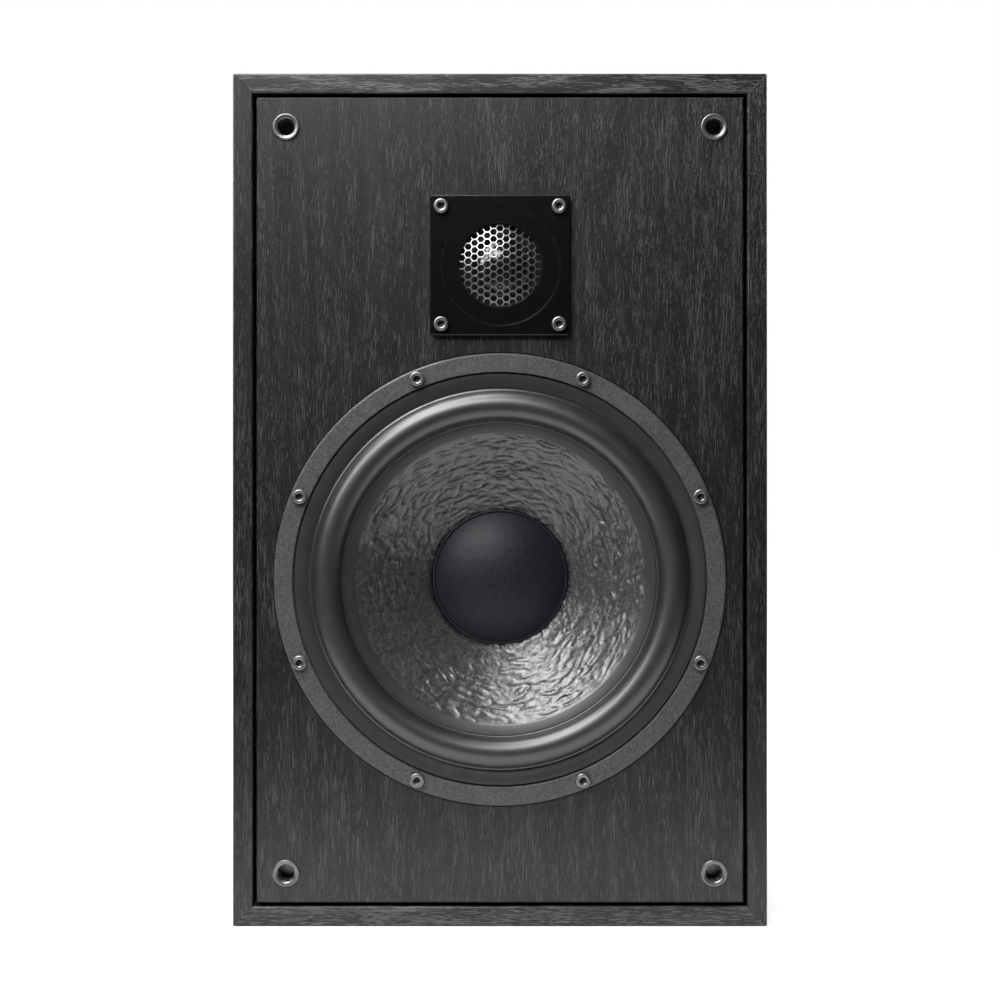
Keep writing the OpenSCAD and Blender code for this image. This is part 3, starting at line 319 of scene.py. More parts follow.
# A finish with two close colours, speckle, rubbed edges and a little dust
def finish(name, settings):
    look = {**finishBase, "wearTone": settings["light"], **settings}
    material, tree, shader, at = newMaterial(name)
    speckle = place(tree, speckleGroup, {"Vector": at, "Size": look["speck"] * mm})
    tone = mixOf(tree, speckle["Value"], look["fineTone"], speckle["Broad"], 1 - look["fineTone"])
    colour = blendColour(tree, remap(tree, tone, *look["toneRange"]), look["dark"], look["light"])
    roughness = remap(tree, tone, *look["roughRange"], *look["rough"])
    if "wear" in look:
        rubbing = {"Vector": at, "Radius": look["wearWidth"] * mm, "Amount": look["wear"]}
        colour = blendColour(tree, place(tree, wearGroup, rubbing)[0], colour, look["wearTone"])
    if "dust" in look:
        dusty = place(tree, dustGroup, {"Vector": at, "Amount": look["dust"]})[0]
        colour = blendColour(tree, dusty, colour, look["dustTone"])
        roughness = calc(tree, "ADD", roughness, calc(tree, "MULTIPLY", dusty, look["dustRough"]), clamp=True)
    wire(tree, shader, {"Base Color": colour, "Roughness": roughness, **look.get("sockets", {})})
    bumpTo(tree, shader, speckle["Height"], look["bump"])
    return material


# Black ash vinyl; turned lays the grain along X
vinylLook = {"dark": (0.0042, 0.0044, 0.0053), "light": (0.0090, 0.0093, 0.0108), "pore": (0.092, 0.093, 0.101),
             "streaks": (0.3, 0.7), "rough": (0.37, 0.29), "specular": 0.58, "wander": 1.0, "wearWidth": 0.5,
             "wear": 0.25, "wearTone": (0.09, 0.09, 0.095), "dust": 0.05, "dustTone": (0.3, 0.29, 0.28)}
vinylBoards = {
    "upright": {"turned": False, "pores": 0.65, "poreTone": 0.48, "patchy": 0.4, "bump": 0.05},
    "level": {"turned": True, "pores": 0.56, "poreTone": 0.85, "patchy": 1.1, "bump": 0.025},
    # The base copy's larger, lighter pores are painted light: they make the bottom board read brighter than the
    # other boards
    "base": {"turned": True, "pores": 0.78, "poreTone": 0.95, "patchy": 0.1, "bump": 0.07},
}


def ashVinyl(name):
    look = {**vinylLook, **vinylBoards[name]}
    material, tree, shader, at = newMaterial("black ash vinyl " + name)
    if look["turned"]:
        at = put(tree, "Mapping", {"Vector": at, "Rotation": (0, math.pi / 2, 0)}).outputs[0]
    grain = place(tree, grainGroup, {"Vector": at, "Pore Amount": look["pores"], "Wander": look["wander"],
                                     "Patchiness": look["patchy"]})
    streaks = remap(tree, grain["Streaks"], *look["streaks"])
    colour = blendColour(tree, streaks, look["dark"], look["light"])
    colour = blendColour(tree, calc(tree, "MULTIPLY", grain["Pores"], look["poreTone"]), colour, look["pore"])
    worn = place(tree, wearGroup, {"Vector": at, "Radius": look["wearWidth"] * mm, "Amount": look["wear"]})[0]
    colour = blendColour(tree, worn, colour, look["wearTone"])
    dusty = place(tree, dustGroup, {"Vector": at, "Amount": look["dust"]})[0]
    colour = blendColour(tree, dusty, colour, look["dustTone"])
    rough = remap(tree, grain["Streaks"], *look["streaks"], *look["rough"])
    wire(tree, shader, {"Base Color": colour, "Roughness": rough, "Specular IOR Level": look["specular"]})
    bumpTo(tree, shader, grain["Height"], look["bump"])
    return material


uprightVinyl, levelVinyl, paintedLightBaseVinyl = [ashVinyl(name) for name in vinylBoards]

# Raw particle board of cleats and brace; chips is how many lie along a metre
boardLook = {"dark": (0.24, 0.16, 0.09), "light": (0.46, 0.34, 0.21), "chips": 420.0, "chipShare": 0.6,
             "cloud": 7, "cloudShare": 0.4, "rough": 0.85, "bump": 0.12}


def bareBoard():
    look = boardLook
    material, tree, shader, at = newMaterial("bare board")
    chips = put(tree, "TexVoronoi", {"Vector": at, "Scale": look["chips"], "Randomness": 1.0})
    shade = put(tree, "SeparateColor", {0: chips.outputs["Color"]}).outputs[0]
    tone = mixOf(tree, shade, look["chipShare"], noiseAt(tree, at, look["cloud"], 3), look["cloudShare"])
    colour = blendColour(tree, tone, look["dark"], look["light"])
    wire(tree, shader, {"Base Color": colour, "Roughness": look["rough"]})
    bumpTo(tree, shader, chips.outputs["Distance"], look["bump"])
    return material


# Lacquered pulp: matt fibres with a coat that pools in the creases. Sizes in mm; the ring round the dust cap is
# where a painted shadow, darkest at the cap's edge, fades out
pulpLook = {"dark": (0.016, 0.016, 0.0158), "light": (0.092, 0.0915, 0.091), "rough": (0.12, 0.31),
            "warp": 1.6, "warpReach": 0.004, "fibre": 0.35, "clump": 2.1, "fibreShare": 0.6,
            "clumpShare": 0.4, "toneRange": (0.36, 0.66), "coatRange": (0.35, 0.65), "glue": (33.4, 36.0),
            "glueTone": (0.003, 0.003, 0.003), "specular": 1.0, "clumpHeight": 1.2, "bump": 0.07}


def lacqueredPulp():
    look = pulpLook
    material, tree, shader, at = newMaterial("lacquered pulp")
    warp = calc(tree, "MULTIPLY", noiseAt(tree, at, look["warp"], 2), look["warpReach"])
    warps = put(tree, "CombineXYZ", {0: warp, 1: warp, 2: warp}).outputs[0]
    spread = put(tree, "VectorMath", {0: at, 1: warps}, operation="ADD").outputs[0]
    fibres = noiseAt(tree, spread, look["fibre"], 4, 0.65, (1.6, 1, 0.8))
    clumps = noiseAt(tree, spread, look["clump"], 3, 0.6)
    tone = mixOf(tree, fibres, look["fibreShare"], clumps, look["clumpShare"])
    colour = blendColour(tree, remap(tree, tone, *look["toneRange"]), look["dark"], look["light"])
    around = put(tree, "VectorMath", {0: at, 1: wooferAt}, operation="SUBTRACT").outputs[0]
    flat = put(tree, "VectorMath", {0: around, 1: (1, 0, 1)}, operation="MULTIPLY").outputs[0]
    radius = put(tree, "VectorMath", {0: flat}, operation="LENGTH").outputs["Value"]
    # Painted shadow: a dark ring round the dust cap, fading out from its edge
    glued = remap(tree, radius, *[edge * mm for edge in look["glue"]], 1.0, 0.0)
    wire(tree, shader, {"Base Color": blendColour(tree, glued, colour, look["glueTone"]),
                        "Roughness": remap(tree, clumps, *look["coatRange"], *look["rough"]),
                        "Specular IOR Level": look["specular"]})
    height = calc(tree, "ADD", fibres, calc(tree, "MULTIPLY", clumps, look["clumpHeight"]))
    bumpTo(tree, shader, height, look["bump"])
    return material


# Wire or braid laid in turns along an axis, with a pitch in mm
wireLook = {
    "coil": {"axis": "Y", "pitch": 0.32, "rough": 0.30,
        "dark": (0.38, 0.13, 0.05), "light": (0.66, 0.30, 0.14)},
    "choke": {"axis": "Z", "pitch": 0.9, "rough": 0.28,
        "dark": (0.36, 0.12, 0.05), "light": (0.68, 0.31, 0.14)},
    "tinsel": {"axis": "Z", "pitch": 0.7, "rough": 0.36,
        "dark": (0.46, 0.28, 0.14), "light": (0.74, 0.52, 0.32)},
}


# Fine ridges across the wire, with painted shade between them, where the wire is also duller
def woundWire(name, look):
    material, tree, shader, at = newMaterial(name)
    along = put(tree, "SeparateXYZ", {0: at}).outputs["XYZ".index(look["axis"])]
    ridges = calc(tree, "SINE", calc(tree, "MULTIPLY", along, math.tau / (look["pitch"] * mm)))
    shade = calc(tree, "ADD", calc(tree, "MULTIPLY", ridges, 0.25), noiseAt(tree, at, 1.3, 3))
    colour = blendColour(tree, remap(tree, shade, 0.2, 0.8), look["dark"], look["light"])
    rough = remap(tree, shade, 0.2, 0.8, look["rough"] + 0.1, look["rough"])
    wire(tree, shader, {"Base Color": colour, "Roughness": rough, "Metallic": 0.85})
    bumpTo(tree, shader, ridges, look["pitch"] * 0.3)
    return material


# Open cloth stiffened with resin; thread is the weave's pitch in metres
clothLook = {"dark": (0.20, 0.12, 0.03), "light": (0.52, 0.36, 0.12), "thread": 0.0011, "weave": 0.3,
             "cloud": 4, "toneRange": (0.3, 0.9), "rough": 0.7, "bump": 0.15}


def treatedCloth():
    look = clothLook
    material, tree, shader, at = newMaterial("treated cloth")
    parts = put(tree, "SeparateXYZ", {0: at}).outputs
    threads = [calc(tree, "MULTIPLY", parts[i], math.tau / look["thread"]) for i in (0, 2)]
    threads = [calc(tree, "SINE", thread) for thread in threads]
    weave = calc(tree, "MAXIMUM", *threads)
    tone = calc(tree, "ADD", calc(tree, "MULTIPLY", weave, look["weave"]), noiseAt(tree, at, look["cloud"], 3))
    colour = blendColour(tree, remap(tree, tone, *look["toneRange"]), look["dark"], look["light"])
    wire(tree, shader, {"Base Color": colour, "Roughness": look["rough"]})
    bumpTo(tree, shader, weave, look["bump"])
    return material


# Needled polyester wadding; hair and lump are sizes in mm
feltLook = {"dark": (0.48, 0.47, 0.44), "light": (0.82, 0.81, 0.78), "hair": 0.8, "hairShare": 0.6,
            "lump": 14, "lumpShare": 0.4, "toneRange": (0.3, 0.7), "rough": 0.95, "sheen": 0.5, "bump": 1.2}


def needledFelt():
    look = feltLook
    material, tree, shader, at = newMaterial("needled wadding")
    tone = mixOf(tree, noiseAt(tree, at, look["hair"], 5, 0.75), look["hairShare"],
                 noiseAt(tree, at, look["lump"], 3), look["lumpShare"])
    colour = blendColour(tree, remap(tree, tone, *look["toneRange"]), look["dark"], look["light"])
    wire(tree, shader, {"Base Color": colour, "Roughness": look["rough"], "Sheen Weight": look["sheen"]})
    bumpTo(tree, shader, tone, look["bump"])
    return material


# Circuit board: solder mask over faint copper tracks; tracks is how many cross a metre
circuitLook = {"dark": (0.008, 0.06, 0.025), "light": (0.05, 0.19, 0.09), "tracks": 70.0, "line": (0.03, 0.06),
               "lineShare": 0.6, "cloud": 5, "cloudShare": 0.3, "rough": 0.35, "bump": 0.03}


def circuitBoard():
    look = circuitLook
    material, tree, shader, at = newMaterial("circuit board")
    tracks = put(tree, "TexVoronoi", {"Vector": at, "Scale": look["tracks"]}, distance="MANHATTAN",
                 feature="F1").outputs["Distance"]
    lines = calc(tree, "ABSOLUTE", calc(tree, "SUBTRACT", tracks, 0.5))
    lines = remap(tree, lines, *look["line"], 1.0, 0.0)
    tone = mixOf(tree, lines, look["lineShare"], noiseAt(tree, at, look["cloud"], 2), look["cloudShare"])
    colour = blendColour(tree, tone, look["dark"], look["light"])
    wire(tree, shader, {"Base Color": colour, "Roughness": look["rough"]})
    bumpTo(tree, shader, lines, look["bump"])
    return material


# Painted, moulded, plated and rubber finishes; speck, wearWidth and bump are in mm
finishLook = {
    "ringPaint": {"dark": (0.040, 0.040, 0.044), "light": (0.130, 0.130, 0.139), "rough": (0.36, 0.50),
        "speck": 0.6, "fineTone": 0.85, "bump": 0.035, "wear": 0.35, "wearTone": (0.25, 0.25, 0.26),
        "dust": 0.04, "sockets": {"Metallic": 0.35}},
    "butylRubber": {"dark": (0.011, 0.011, 0.012), "light": (0.018, 0.018, 0.019), "rough": (0.36, 0.41),
        "speck": 0.25, "fineTone": 0.35, "bump": 0.004, "dust": 0.01,
        "sockets": {"Specular IOR Level": 1.0, "IOR": 1.54}},
    "capFelt": {"dark": (0.0050, 0.0054, 0.0078), "light": (0.017, 0.0185, 0.026), "rough": (0.42, 0.54),
        "speck": 0.75, "fineTone": 0.9, "bump": 0.12,
        "sockets": {"Specular IOR Level": 0.28, "Sheen Weight": 0.01}},
    "plateSatin": {"dark": (0.0008, 0.0008, 0.0007), "light": (0.0034, 0.0034, 0.0029),
        "rough": (0.19, 0.27), "speck": 0.36, "fineTone": 0.85, "bump": 0.02, "wear": 0.5,
        "wearTone": (0.10, 0.10, 0.10), "wearWidth": 0.3, "dust": 0.002,
        "sockets": {"Specular IOR Level": 0.42}},
    "meshChrome": {"dark": (0.27, 0.27, 0.28), "light": (0.42, 0.42, 0.43), "rough": (0.26, 0.36),
        "speck": 0.2, "bump": 0.004, "sockets": {"Metallic": 0.9}},
    "domeGloss": {"dark": (0.005, 0.005, 0.005), "light": (0.010, 0.010, 0.010), "rough": (0.10, 0.17),
        "speck": 0.5, "bump": 0.003, "sockets": {"Coat Weight": 0.4, "Coat Roughness": 0.08}},
    # Near black: the doped cloth's own black, deepened with painted shade as under the guard
    "dopedCloth": {"dark": (0.0015, 0.0015, 0.0015), "light": (0.0045, 0.0045, 0.0045),
        "rough": (0.45, 0.60), "speck": 0.3, "bump": 0.02, "sockets": {"Specular IOR Level": 0.3}},
    "gunmetal": {"dark": (0.20, 0.20, 0.205), "light": (0.34, 0.34, 0.345), "rough": (0.27, 0.36),
        "speck": 0.3, "bump": 0.01, "wear": 0.5, "wearTone": (0.42, 0.42, 0.42), "wearWidth": 0.25,
        "sockets": {"Metallic": 0.85}},
    # Painted shade: a near-black finish for the insides of the screws' hexagon sockets
    "paintedShadeSocket": {"dark": (0.004, 0.004, 0.004), "light": (0.010, 0.010, 0.010), "rough": (0.5, 0.6),
        "speck": 0.3, "bump": 0.01},
    "socketShell": {"dark": (0.15, 0.15, 0.155), "light": (0.22, 0.22, 0.225), "rough": (0.26, 0.36),
        "speck": 0.35, "bump": 0.008, "sockets": {"Metallic": 0.75}},
    "blackSteel": {"dark": (0.012, 0.012, 0.013), "light": (0.035, 0.035, 0.037), "rough": (0.32, 0.5),
        "speck": 0.4, "bump": 0.015, "wear": 0.6, "wearTone": (0.25, 0.25, 0.26), "wearWidth": 0.3,
        "sockets": {"Metallic": 0.8}},
    "mouldedBlack": {"dark": (0.010, 0.010, 0.010), "light": (0.020, 0.020, 0.021), "rough": (0.38, 0.52),
        "speck": 0.7, "fineTone": 0.8, "bump": 0.05, "wear": 0.35, "wearTone": (0.07, 0.07, 0.07),
        "dust": 0.08},
    "knobBlack": {"dark": (0.008, 0.008, 0.008), "light": (0.016, 0.016, 0.017), "rough": (0.22, 0.34),
        "speck": 0.5, "bump": 0.008, "wear": 0.4, "wearTone": (0.06, 0.06, 0.06), "dust": 0.05},
    "knobRed": {"dark": (0.30, 0.008, 0.008), "light": (0.46, 0.018, 0.015), "rough": (0.22, 0.34),
        "speck": 0.5, "bump": 0.008, "wear": 0.4, "wearTone": (0.55, 0.07, 0.05), "dust": 0.05},
    "goldPlate": {"dark": (0.62, 0.40, 0.13), "light": (0.80, 0.56, 0.22), "rough": (0.20, 0.32),
        "speck": 0.4, "bump": 0.006, "sockets": {"Metallic": 1.0}},
    "brass": {"dark": (0.50, 0.34, 0.12), "light": (0.66, 0.48, 0.20), "rough": (0.30, 0.45), "speck": 0.4,
        "bump": 0.01, "sockets": {"Metallic": 1.0}},
    "zincPlate": {"dark": (0.42, 0.43, 0.42), "light": (0.60, 0.61, 0.58), "rough": (0.30, 0.46),
        "speck": 0.8, "bump": 0.012, "wear": 0.3, "sockets": {"Metallic": 1.0}},
    "aluminium": {"dark": (0.50, 0.50, 0.51), "light": (0.66, 0.66, 0.67), "rough": (0.28, 0.42),
        "speck": 0.3, "bump": 0.008, "sockets": {"Metallic": 1.0}},
    "ferrite": {"dark": (0.016, 0.016, 0.017), "light": (0.05, 0.05, 0.052), "rough": (0.55, 0.75),
        "speck": 0.6, "bump": 0.06, "wear": 0.6, "wearTone": (0.12, 0.12, 0.12), "dust": 0.1},
    "phenolic": {"dark": (0.20, 0.09, 0.035), "light": (0.34, 0.17, 0.07), "rough": (0.42, 0.58),
        "speck": 0.5, "bump": 0.02},
    "foamRubber": {"dark": (0.010, 0.010, 0.010), "light": (0.032, 0.032, 0.032), "rough": (0.85, 0.95),
        "speck": 0.7, "fineTone": 0.9, "bump": 0.25},
    "nylon": {"dark": (0.60, 0.58, 0.52), "light": (0.74, 0.72, 0.67), "rough": (0.38, 0.50), "speck": 0.5,
        "bump": 0.01},
    "filmYellow": {"dark": (0.58, 0.40, 0.10), "light": (0.72, 0.54, 0.18), "rough": (0.22, 0.34),
        "speck": 0.9, "bump": 0.02},
    "ceramic": {"dark": (0.58, 0.57, 0.53), "light": (0.76, 0.75, 0.71), "rough": (0.70, 0.85),
        "speck": 0.5, "bump": 0.05},
    "redSleeve": {"dark": (0.34, 0.010, 0.010), "light": (0.46, 0.020, 0.016), "rough": (0.34, 0.46),
        "speck": 0.6, "bump": 0.01},
    "blackSleeve": {"dark": (0.010, 0.010, 0.010), "light": (0.020, 0.020, 0.020), "rough": (0.34, 0.46),
        "speck": 0.6, "bump": 0.01},
}
finishes = {name: finish(name, look) for name, look in finishLook.items()}
finishes["board"] = bareBoard()
finishes["pulp"] = lacqueredPulp()
finishes["felt"] = needledFelt()
finishes["cloth"] = treatedCloth()
finishes["circuit"] = circuitBoard()
finishes["coilWire"] = woundWire("coil wire", wireLook["coil"])
finishes["chokeWire"] = woundWire("choke wire", wireLook["choke"])
finishes["tinsel"] = woundWire("tinsel braid", wireLook["tinsel"])
print("materials:", len(bpy.data.materials))

# Reach and the contact range are distances from the cabinet's walls, in metres: within the contact range the
# camera sees a painted contact shadow whose tone is shade, and within reach the floor gives off a painted glow
# whose strength is glow
floorLook = {"size": 30.0, "colour": (1, 1, 0.99), "tone": 0.68, "far": 0.05, "rough": 0.9, "specular": 0.1,
             "glow": 0.21, "reach": (0.14, 0.42), "paintedShadowReach": (0.01, 0.14), "shade": 0.5, "room": 0.012}


# A pale table in a dark room, paler near the cabinet, where it also gives off a painted glow that lights the
# cabinet from below; the camera alone sees both as white, save a painted contact shadow along the walls
def addStage():
    look = floorLook
    material, tree, shader, at = newMaterial("studio floor")
    seen = put(tree, "LightPath").outputs["Is Camera Ray"]
    parts = put(tree, "SeparateXYZ", {0: at}).outputs
    gaps = [calc(tree, "SUBTRACT", calc(tree, "ABSOLUTE", parts[i]), cadBox[1][i]) for i in (0, 1)]
    gaps = [calc(tree, "MAXIMUM", gap, 0.0) for gap in gaps]
    away = calc(tree, "SQRT", calc(tree, "ADD", *[calc(tree, "MULTIPLY", gap, gap) for gap in gaps]))
    near = remap(tree, away, *look["reach"], 1.0, 0.0)
    tone = calc(tree, "MAXIMUM", remap(tree, near, 0.0, 1.0, look["far"], look["tone"]),
                calc(tree, "MULTIPLY", seen, look["tone"]))
    # Painted contact shadow: the white the camera sees is dimmed close to the cabinet's walls
    shown = calc(tree, "MULTIPLY", seen, remap(tree, away, *look["paintedShadowReach"], look["shade"], 1.0))
    # Painted glow: near the cabinet the floor gives off light to every ray but the camera's
    paintedGlow = calc(tree, "MULTIPLY", calc(tree, "SUBTRACT", 1.0, seen), calc(tree, "MULTIPLY", near, look["glow"]))
    wire(tree, shader, {"Base Color": blendColour(tree, tone, (0, 0, 0), look["colour"]),
                        "Roughness": look["rough"], "Specular IOR Level": look["specular"],
                        "Emission Color": (1, 1, 1, 1), "Emission Strength": calc(tree, "ADD", shown, paintedGlow)})
    half = look["size"] / 2
    corners = [(-half, -half, 0), (half, -half, 0), (half, half, 0), (-half, half, 0)]
    mesh = bpy.data.meshes.new("studioFloor")
    mesh.from_pydata(corners, [], [(0, 1, 2, 3)])
    mesh.materials.append(material)
    floor = bpy.data.objects.new("studioFloor", mesh)
    bpy.context.scene.collection.objects.link(floor)
    world = bpy.data.worlds.new("studio")
    world.use_nodes = True
    bpy.context.scene.world = world
    tree = world.node_tree
    seen = put(tree, "LightPath").outputs["Is Camera Ray"]
    wire(tree, tree.nodes["Background"], {
        "Color": (1, 1, 1, 1), "Strength": remap(tree, seen, 0.0, 1.0, look["room"], 1.0)})


addStage()


# Turns a finished bmesh into a piece that rides on a body
def addPiece(name, work, material, body, smooth=38, weighted=False):
    bmesh.ops.recalc_face_normals(work, faces=work.faces)
    mesh = bpy.data.meshes.new(name)
    work.to_mesh(mesh)
    work.free()
    mesh.materials.append(material)
    mesh.shade_smooth()
    mesh.set_sharp_from_angle(angle=math.radians(smooth))
    piece = bpy.data.objects.new(name, mesh)
    bpy.context.scene.collection.objects.link(piece)
    if weighted:
        modifier = piece.modifiers.new("flat faces stay flat", "WEIGHTED_NORMAL")
        modifier.keep_sharp = True
    if body:
        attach(piece, body)
    return piece


# A bmesh copy of a CAD node with its split vertices joined
def copied(node, simplify=0.4):
    source = nodes[node]
    work = bmesh.new()
    work.from_mesh(source.data)
    work.transform(source.matrix_world)
    bmesh.ops.remove_doubles(work, verts=work.verts, dist=0.01 * mm)
    if simplify:
        bmesh.ops.dissolve_limit(work, angle_limit=math.radians(simplify), verts=work.verts,
                                 edges=work.edges)
    return work


# Stands for a CAD node with its sharp edges rounded by width
def softened(node, name, material, width=0.25, angle=30, segments=2, smooth=38):
    work = copied(node)
    sharp = [e for e in work.edges if e.is_manifold and e.calc_face_angle(0) > math.radians(angle)]
    bmesh.ops.bevel(work, geom=sharp, offset=width * mm, segments=segments, profile=0.5, affect="EDGES",
                    clamp_overlap=True)
    piece = addPiece(name, work, material, body_of(nodes[node])[0], smooth, weighted=True)
    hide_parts(node)
    return piece


# A point of a driver: angle and radius round its axis, height towards the listener
def onAxis(at, radius, angle, height):
    return Vector((at.x + radius * mm * math.cos(angle), at.y - height * mm,
                   at.z + radius * mm * math.sin(angle)))


# The points of one full turn at a radius and height, in mm
def turnOf(at, radius, height, segments):
    return [onAxis(at, radius, math.tau * k / segments, height) for k in range(segments)]


# Sweeps a closed outline of (radius, height) round a driver's axis into work
def lathe(work, at, outline, segments=192, offset=(0, 0)):
    centre = at + Vector((offset[0] * mm, 0, offset[1] * mm))
    rings = []
    for radius, height in outline:
        if radius < 1e-6:
            rings.append([work.verts.new(onAxis(centre, 0, 0, height))])
        else:
            rings.append([work.verts.new(point) for point in turnOf(centre, radius, height, segments)])
    for first, second in zip(rings, rings[1:] + rings[:1]):
        if len(first) == 1 and len(second) == 1:
            continue
        for k in range(segments):
            m = (k + 1) % segments
            loop = [first[k % len(first)], first[m % len(first)],
                    second[m % len(second)], second[k % len(second)]]
            work.faces.new(list(dict.fromkeys(loop)))


# Part of an ellipse as (radius, height) points, from start to stop in degrees
def arc(midRadius, midHeight, wide, tall, start, stop, steps):
    angles = [math.radians(start + (stop - start) * i / steps) for i in range(steps + 1)]
    return [(midRadius + wide * math.cos(angle), midHeight + tall * math.sin(angle)) for angle in angles]


# Height of a round cap over its middle, for a cap with this edge radius, rise and base
def capHeight(radius, edge, rise, base):
    ball = (edge * edge + rise * rise) / (2 * rise)
    return base + rise - ball + math.sqrt(max(ball * ball - radius * radius, 0))


def smoothStep(value, low, high):
    t = min(max((value - low) / (high - low), 0), 1)
    return t * t * (3 - 2 * t)


# Lets a ring of soft material follow the diaphragm inside and the cabinet outside
def blendRing(piece, moving, at, innerRadius, outerRadius):
    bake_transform(piece, cabinet, moving, at, at - Vector((0, 0.01, 0)))
    weights = piece.data.attributes["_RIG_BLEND"].data
    for vertex in piece.data.vertices:
        radius = math.hypot(vertex.co.x - at.x, vertex.co.z - at.z) / mm
        weights[vertex.index].value = 1 - smoothStep(radius, innerRadius, outerRadius)


# Cabinet boards; edge is how far their corners are softened, in mm
cabinetLook = {"edge": 0.3}
for node, name, material in (
        ("left_board", "leftBoard", uprightVinyl), ("right_board", "rightBoard", uprightVinyl),
        ("top_board", "topBoard", levelVinyl), ("bottom_board", "bottomBoard", paintedLightBaseVinyl),
        ("baffle", "frontBaffle", uprightVinyl), ("back_panel", "backPanel", uprightVinyl)):
    softened(node, name, material, cabinetLook["edge"])
print("cabinet boards done")

# Wadding pads: lump and thick in mm, pull is how far the corners draw in
waddingLook = {"cuts": 26, "lump": 2.2, "lumpSize": 0.02, "pull": 0.035, "thick": 20, "fill": 0.5}


# A soft block: crowned faces, pulled-in corners and a lumpy skin, inside the box low..high
def softBlock(work, low, high, seed):
    look = waddingLook
    half, centre = (high - low) / 2, (high + low) / 2
    already = len(work.verts)
    made = bmesh.ops.create_cube(work, size=2.0)["verts"]
    edges = list({edge for vertex in made for edge in vertex.link_edges})
    bmesh.ops.subdivide_edges(work, edges=edges, cuts=look["cuts"], use_grid_fill=True)
    work.verts.ensure_lookup_table()
    for vertex in work.verts[already:]:
        p = vertex.co.copy()
        pull = Vector([1 - look["pull"] * (p[i] ** 4 + p[j] ** 4) for i, j in ((1, 2), (0, 2), (0, 1))])
        spot = Vector([p[i] * half[i] * pull[i] for i in range(3)])
        rough = noise.fractal(spot / look["lumpSize"] + Vector((seed, 0, 0)), 1.0, 2.0, 3)
        sink = (0.5 + 0.5 * min(max(rough, -1), 1)) * look["lump"] * mm
        vertex.co = centre + spot * max(1 - sink / spot.length, 0.5)


def addWadding():
    low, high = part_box("side_wadding")
    thick = waddingLook["thick"] * mm
    work = bmesh.new()
    softBlock(work, low, Vector((low.x + thick, high.y, high.z)), 1)
    softBlock(work, Vector((high.x - thick, low.y, low.z)), high, 5)
    sides = addPiece("sideWadding", work, finishes["felt"], cabinet, 60)
    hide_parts("side_wadding")
    work = bmesh.new()
    softBlock(work, *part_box("top_wadding"), 9)
    top = addPiece("topWadding", work, finishes["felt"], cabinet, 60)
    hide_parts("top_wadding")


addWadding()

# Rubber surround, in mm: the lands and the lip are (radius, height) steps from the roll's outer
# edge, from its inner edge and from the lip's inner edge
surroundLook = {
    "segments": 256, "flangeOut": 98.2, "rollOut": 90.0, "rollIn": 75.8, "lipIn": 69.6,
    "seat": -0.9, "top": 0.5, "rollHeight": 6.7, "rubber": 1.2, "corner": 0.25,
    "outerLand": [(1.5, 0), (1.3, -0.16), (0.9, -0.16), (0.65, 0.1), (0.3, 0.16), (0.02, 0.45)],
    "innerLand": [(-0.25, 0.42), (-0.6, 0.34), (-0.95, 0.28), (-1.1, 0.12), (-1.3, 0.12), (-1.5, 0.3),
                  (-1.8, 0.24)],
    "lip": [(0.5, -1.0), (0.2, -1.12), (0, -1.25)]}


def addSurround():
    look = surroundLook
    mid, half = (look["rollOut"] + look["rollIn"]) / 2, (look["rollOut"] - look["rollIn"]) / 2
    top, tall, seat, rubber = look["top"], look["rollHeight"], look["seat"], look["rubber"]
    outline = [(look["flangeOut"], seat), (look["flangeOut"], top - look["corner"]),
               (look["flangeOut"] - look["corner"], top)]
    outline += [(look["rollOut"] + out, top + up) for out, up in look["outerLand"]]
    outline += arc(mid, top, half, tall, 6, 172, 46)
    outline += [(look["rollIn"] + out, top + up) for out, up in look["innerLand"]]
    outline += [(look["lipIn"] + out, top + up) for out, up in look["lip"]]
    outline += [(look["lipIn"], seat), (look["rollIn"] + rubber + 0.3, seat)]
    outline += arc(mid, top - 0.2, half - rubber, tall - rubber, 168, 12, 36)
    outline += [(look["rollOut"] - rubber - 0.3, seat)]
    work = bmesh.new()
    lathe(work, wooferAt, outline, look["segments"])
    piece = addPiece("wooferSurround", work, finishes["butylRubber"], None, 42)
    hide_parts("woofer_surround")
    blendRing(piece, cone, wooferAt, look["rollIn"], look["rollOut"])


addSurround()

# Pressed cone, in mm: deep is the height of the folds and fine that of the small ones, litSide is
# where the folds are strongest, in degrees
coneLook = {"segments": 760, "step": 0.42, "neck": 19.5, "rim": 70.0, "rimHeight": -0.95, "slope": 0.792,
            "flange": 75.4, "thick": 1.4, "deep": 1.25, "fine": 0.12, "growth": (30, 60),
            "fade": (68.8, 69.9), "litSide": 50}
# Waves of the pulp: how tightly they turn round the cone, their length down its slope, a fixed offset
pulpWaves = {"patch": (1.7, 23, (0, 0)), "drift": (3, 9, (1.9, 5)), "fold": (6, 3.2, (3.1, 0)),
             "crease": (13, 1.7, (9.7, 2)), "wide": (4, 5, (5.5, 7)), "small": (52, 0.8, (1.3, 4))}


def pulpWave(kind, radius, angle, shift=0.0):
    tight, length, offset = pulpWaves[kind]
    around = Vector((math.cos(angle), math.sin(angle), 0))
    return noise.noise(around * tight + Vector((*offset, radius / length + shift)))


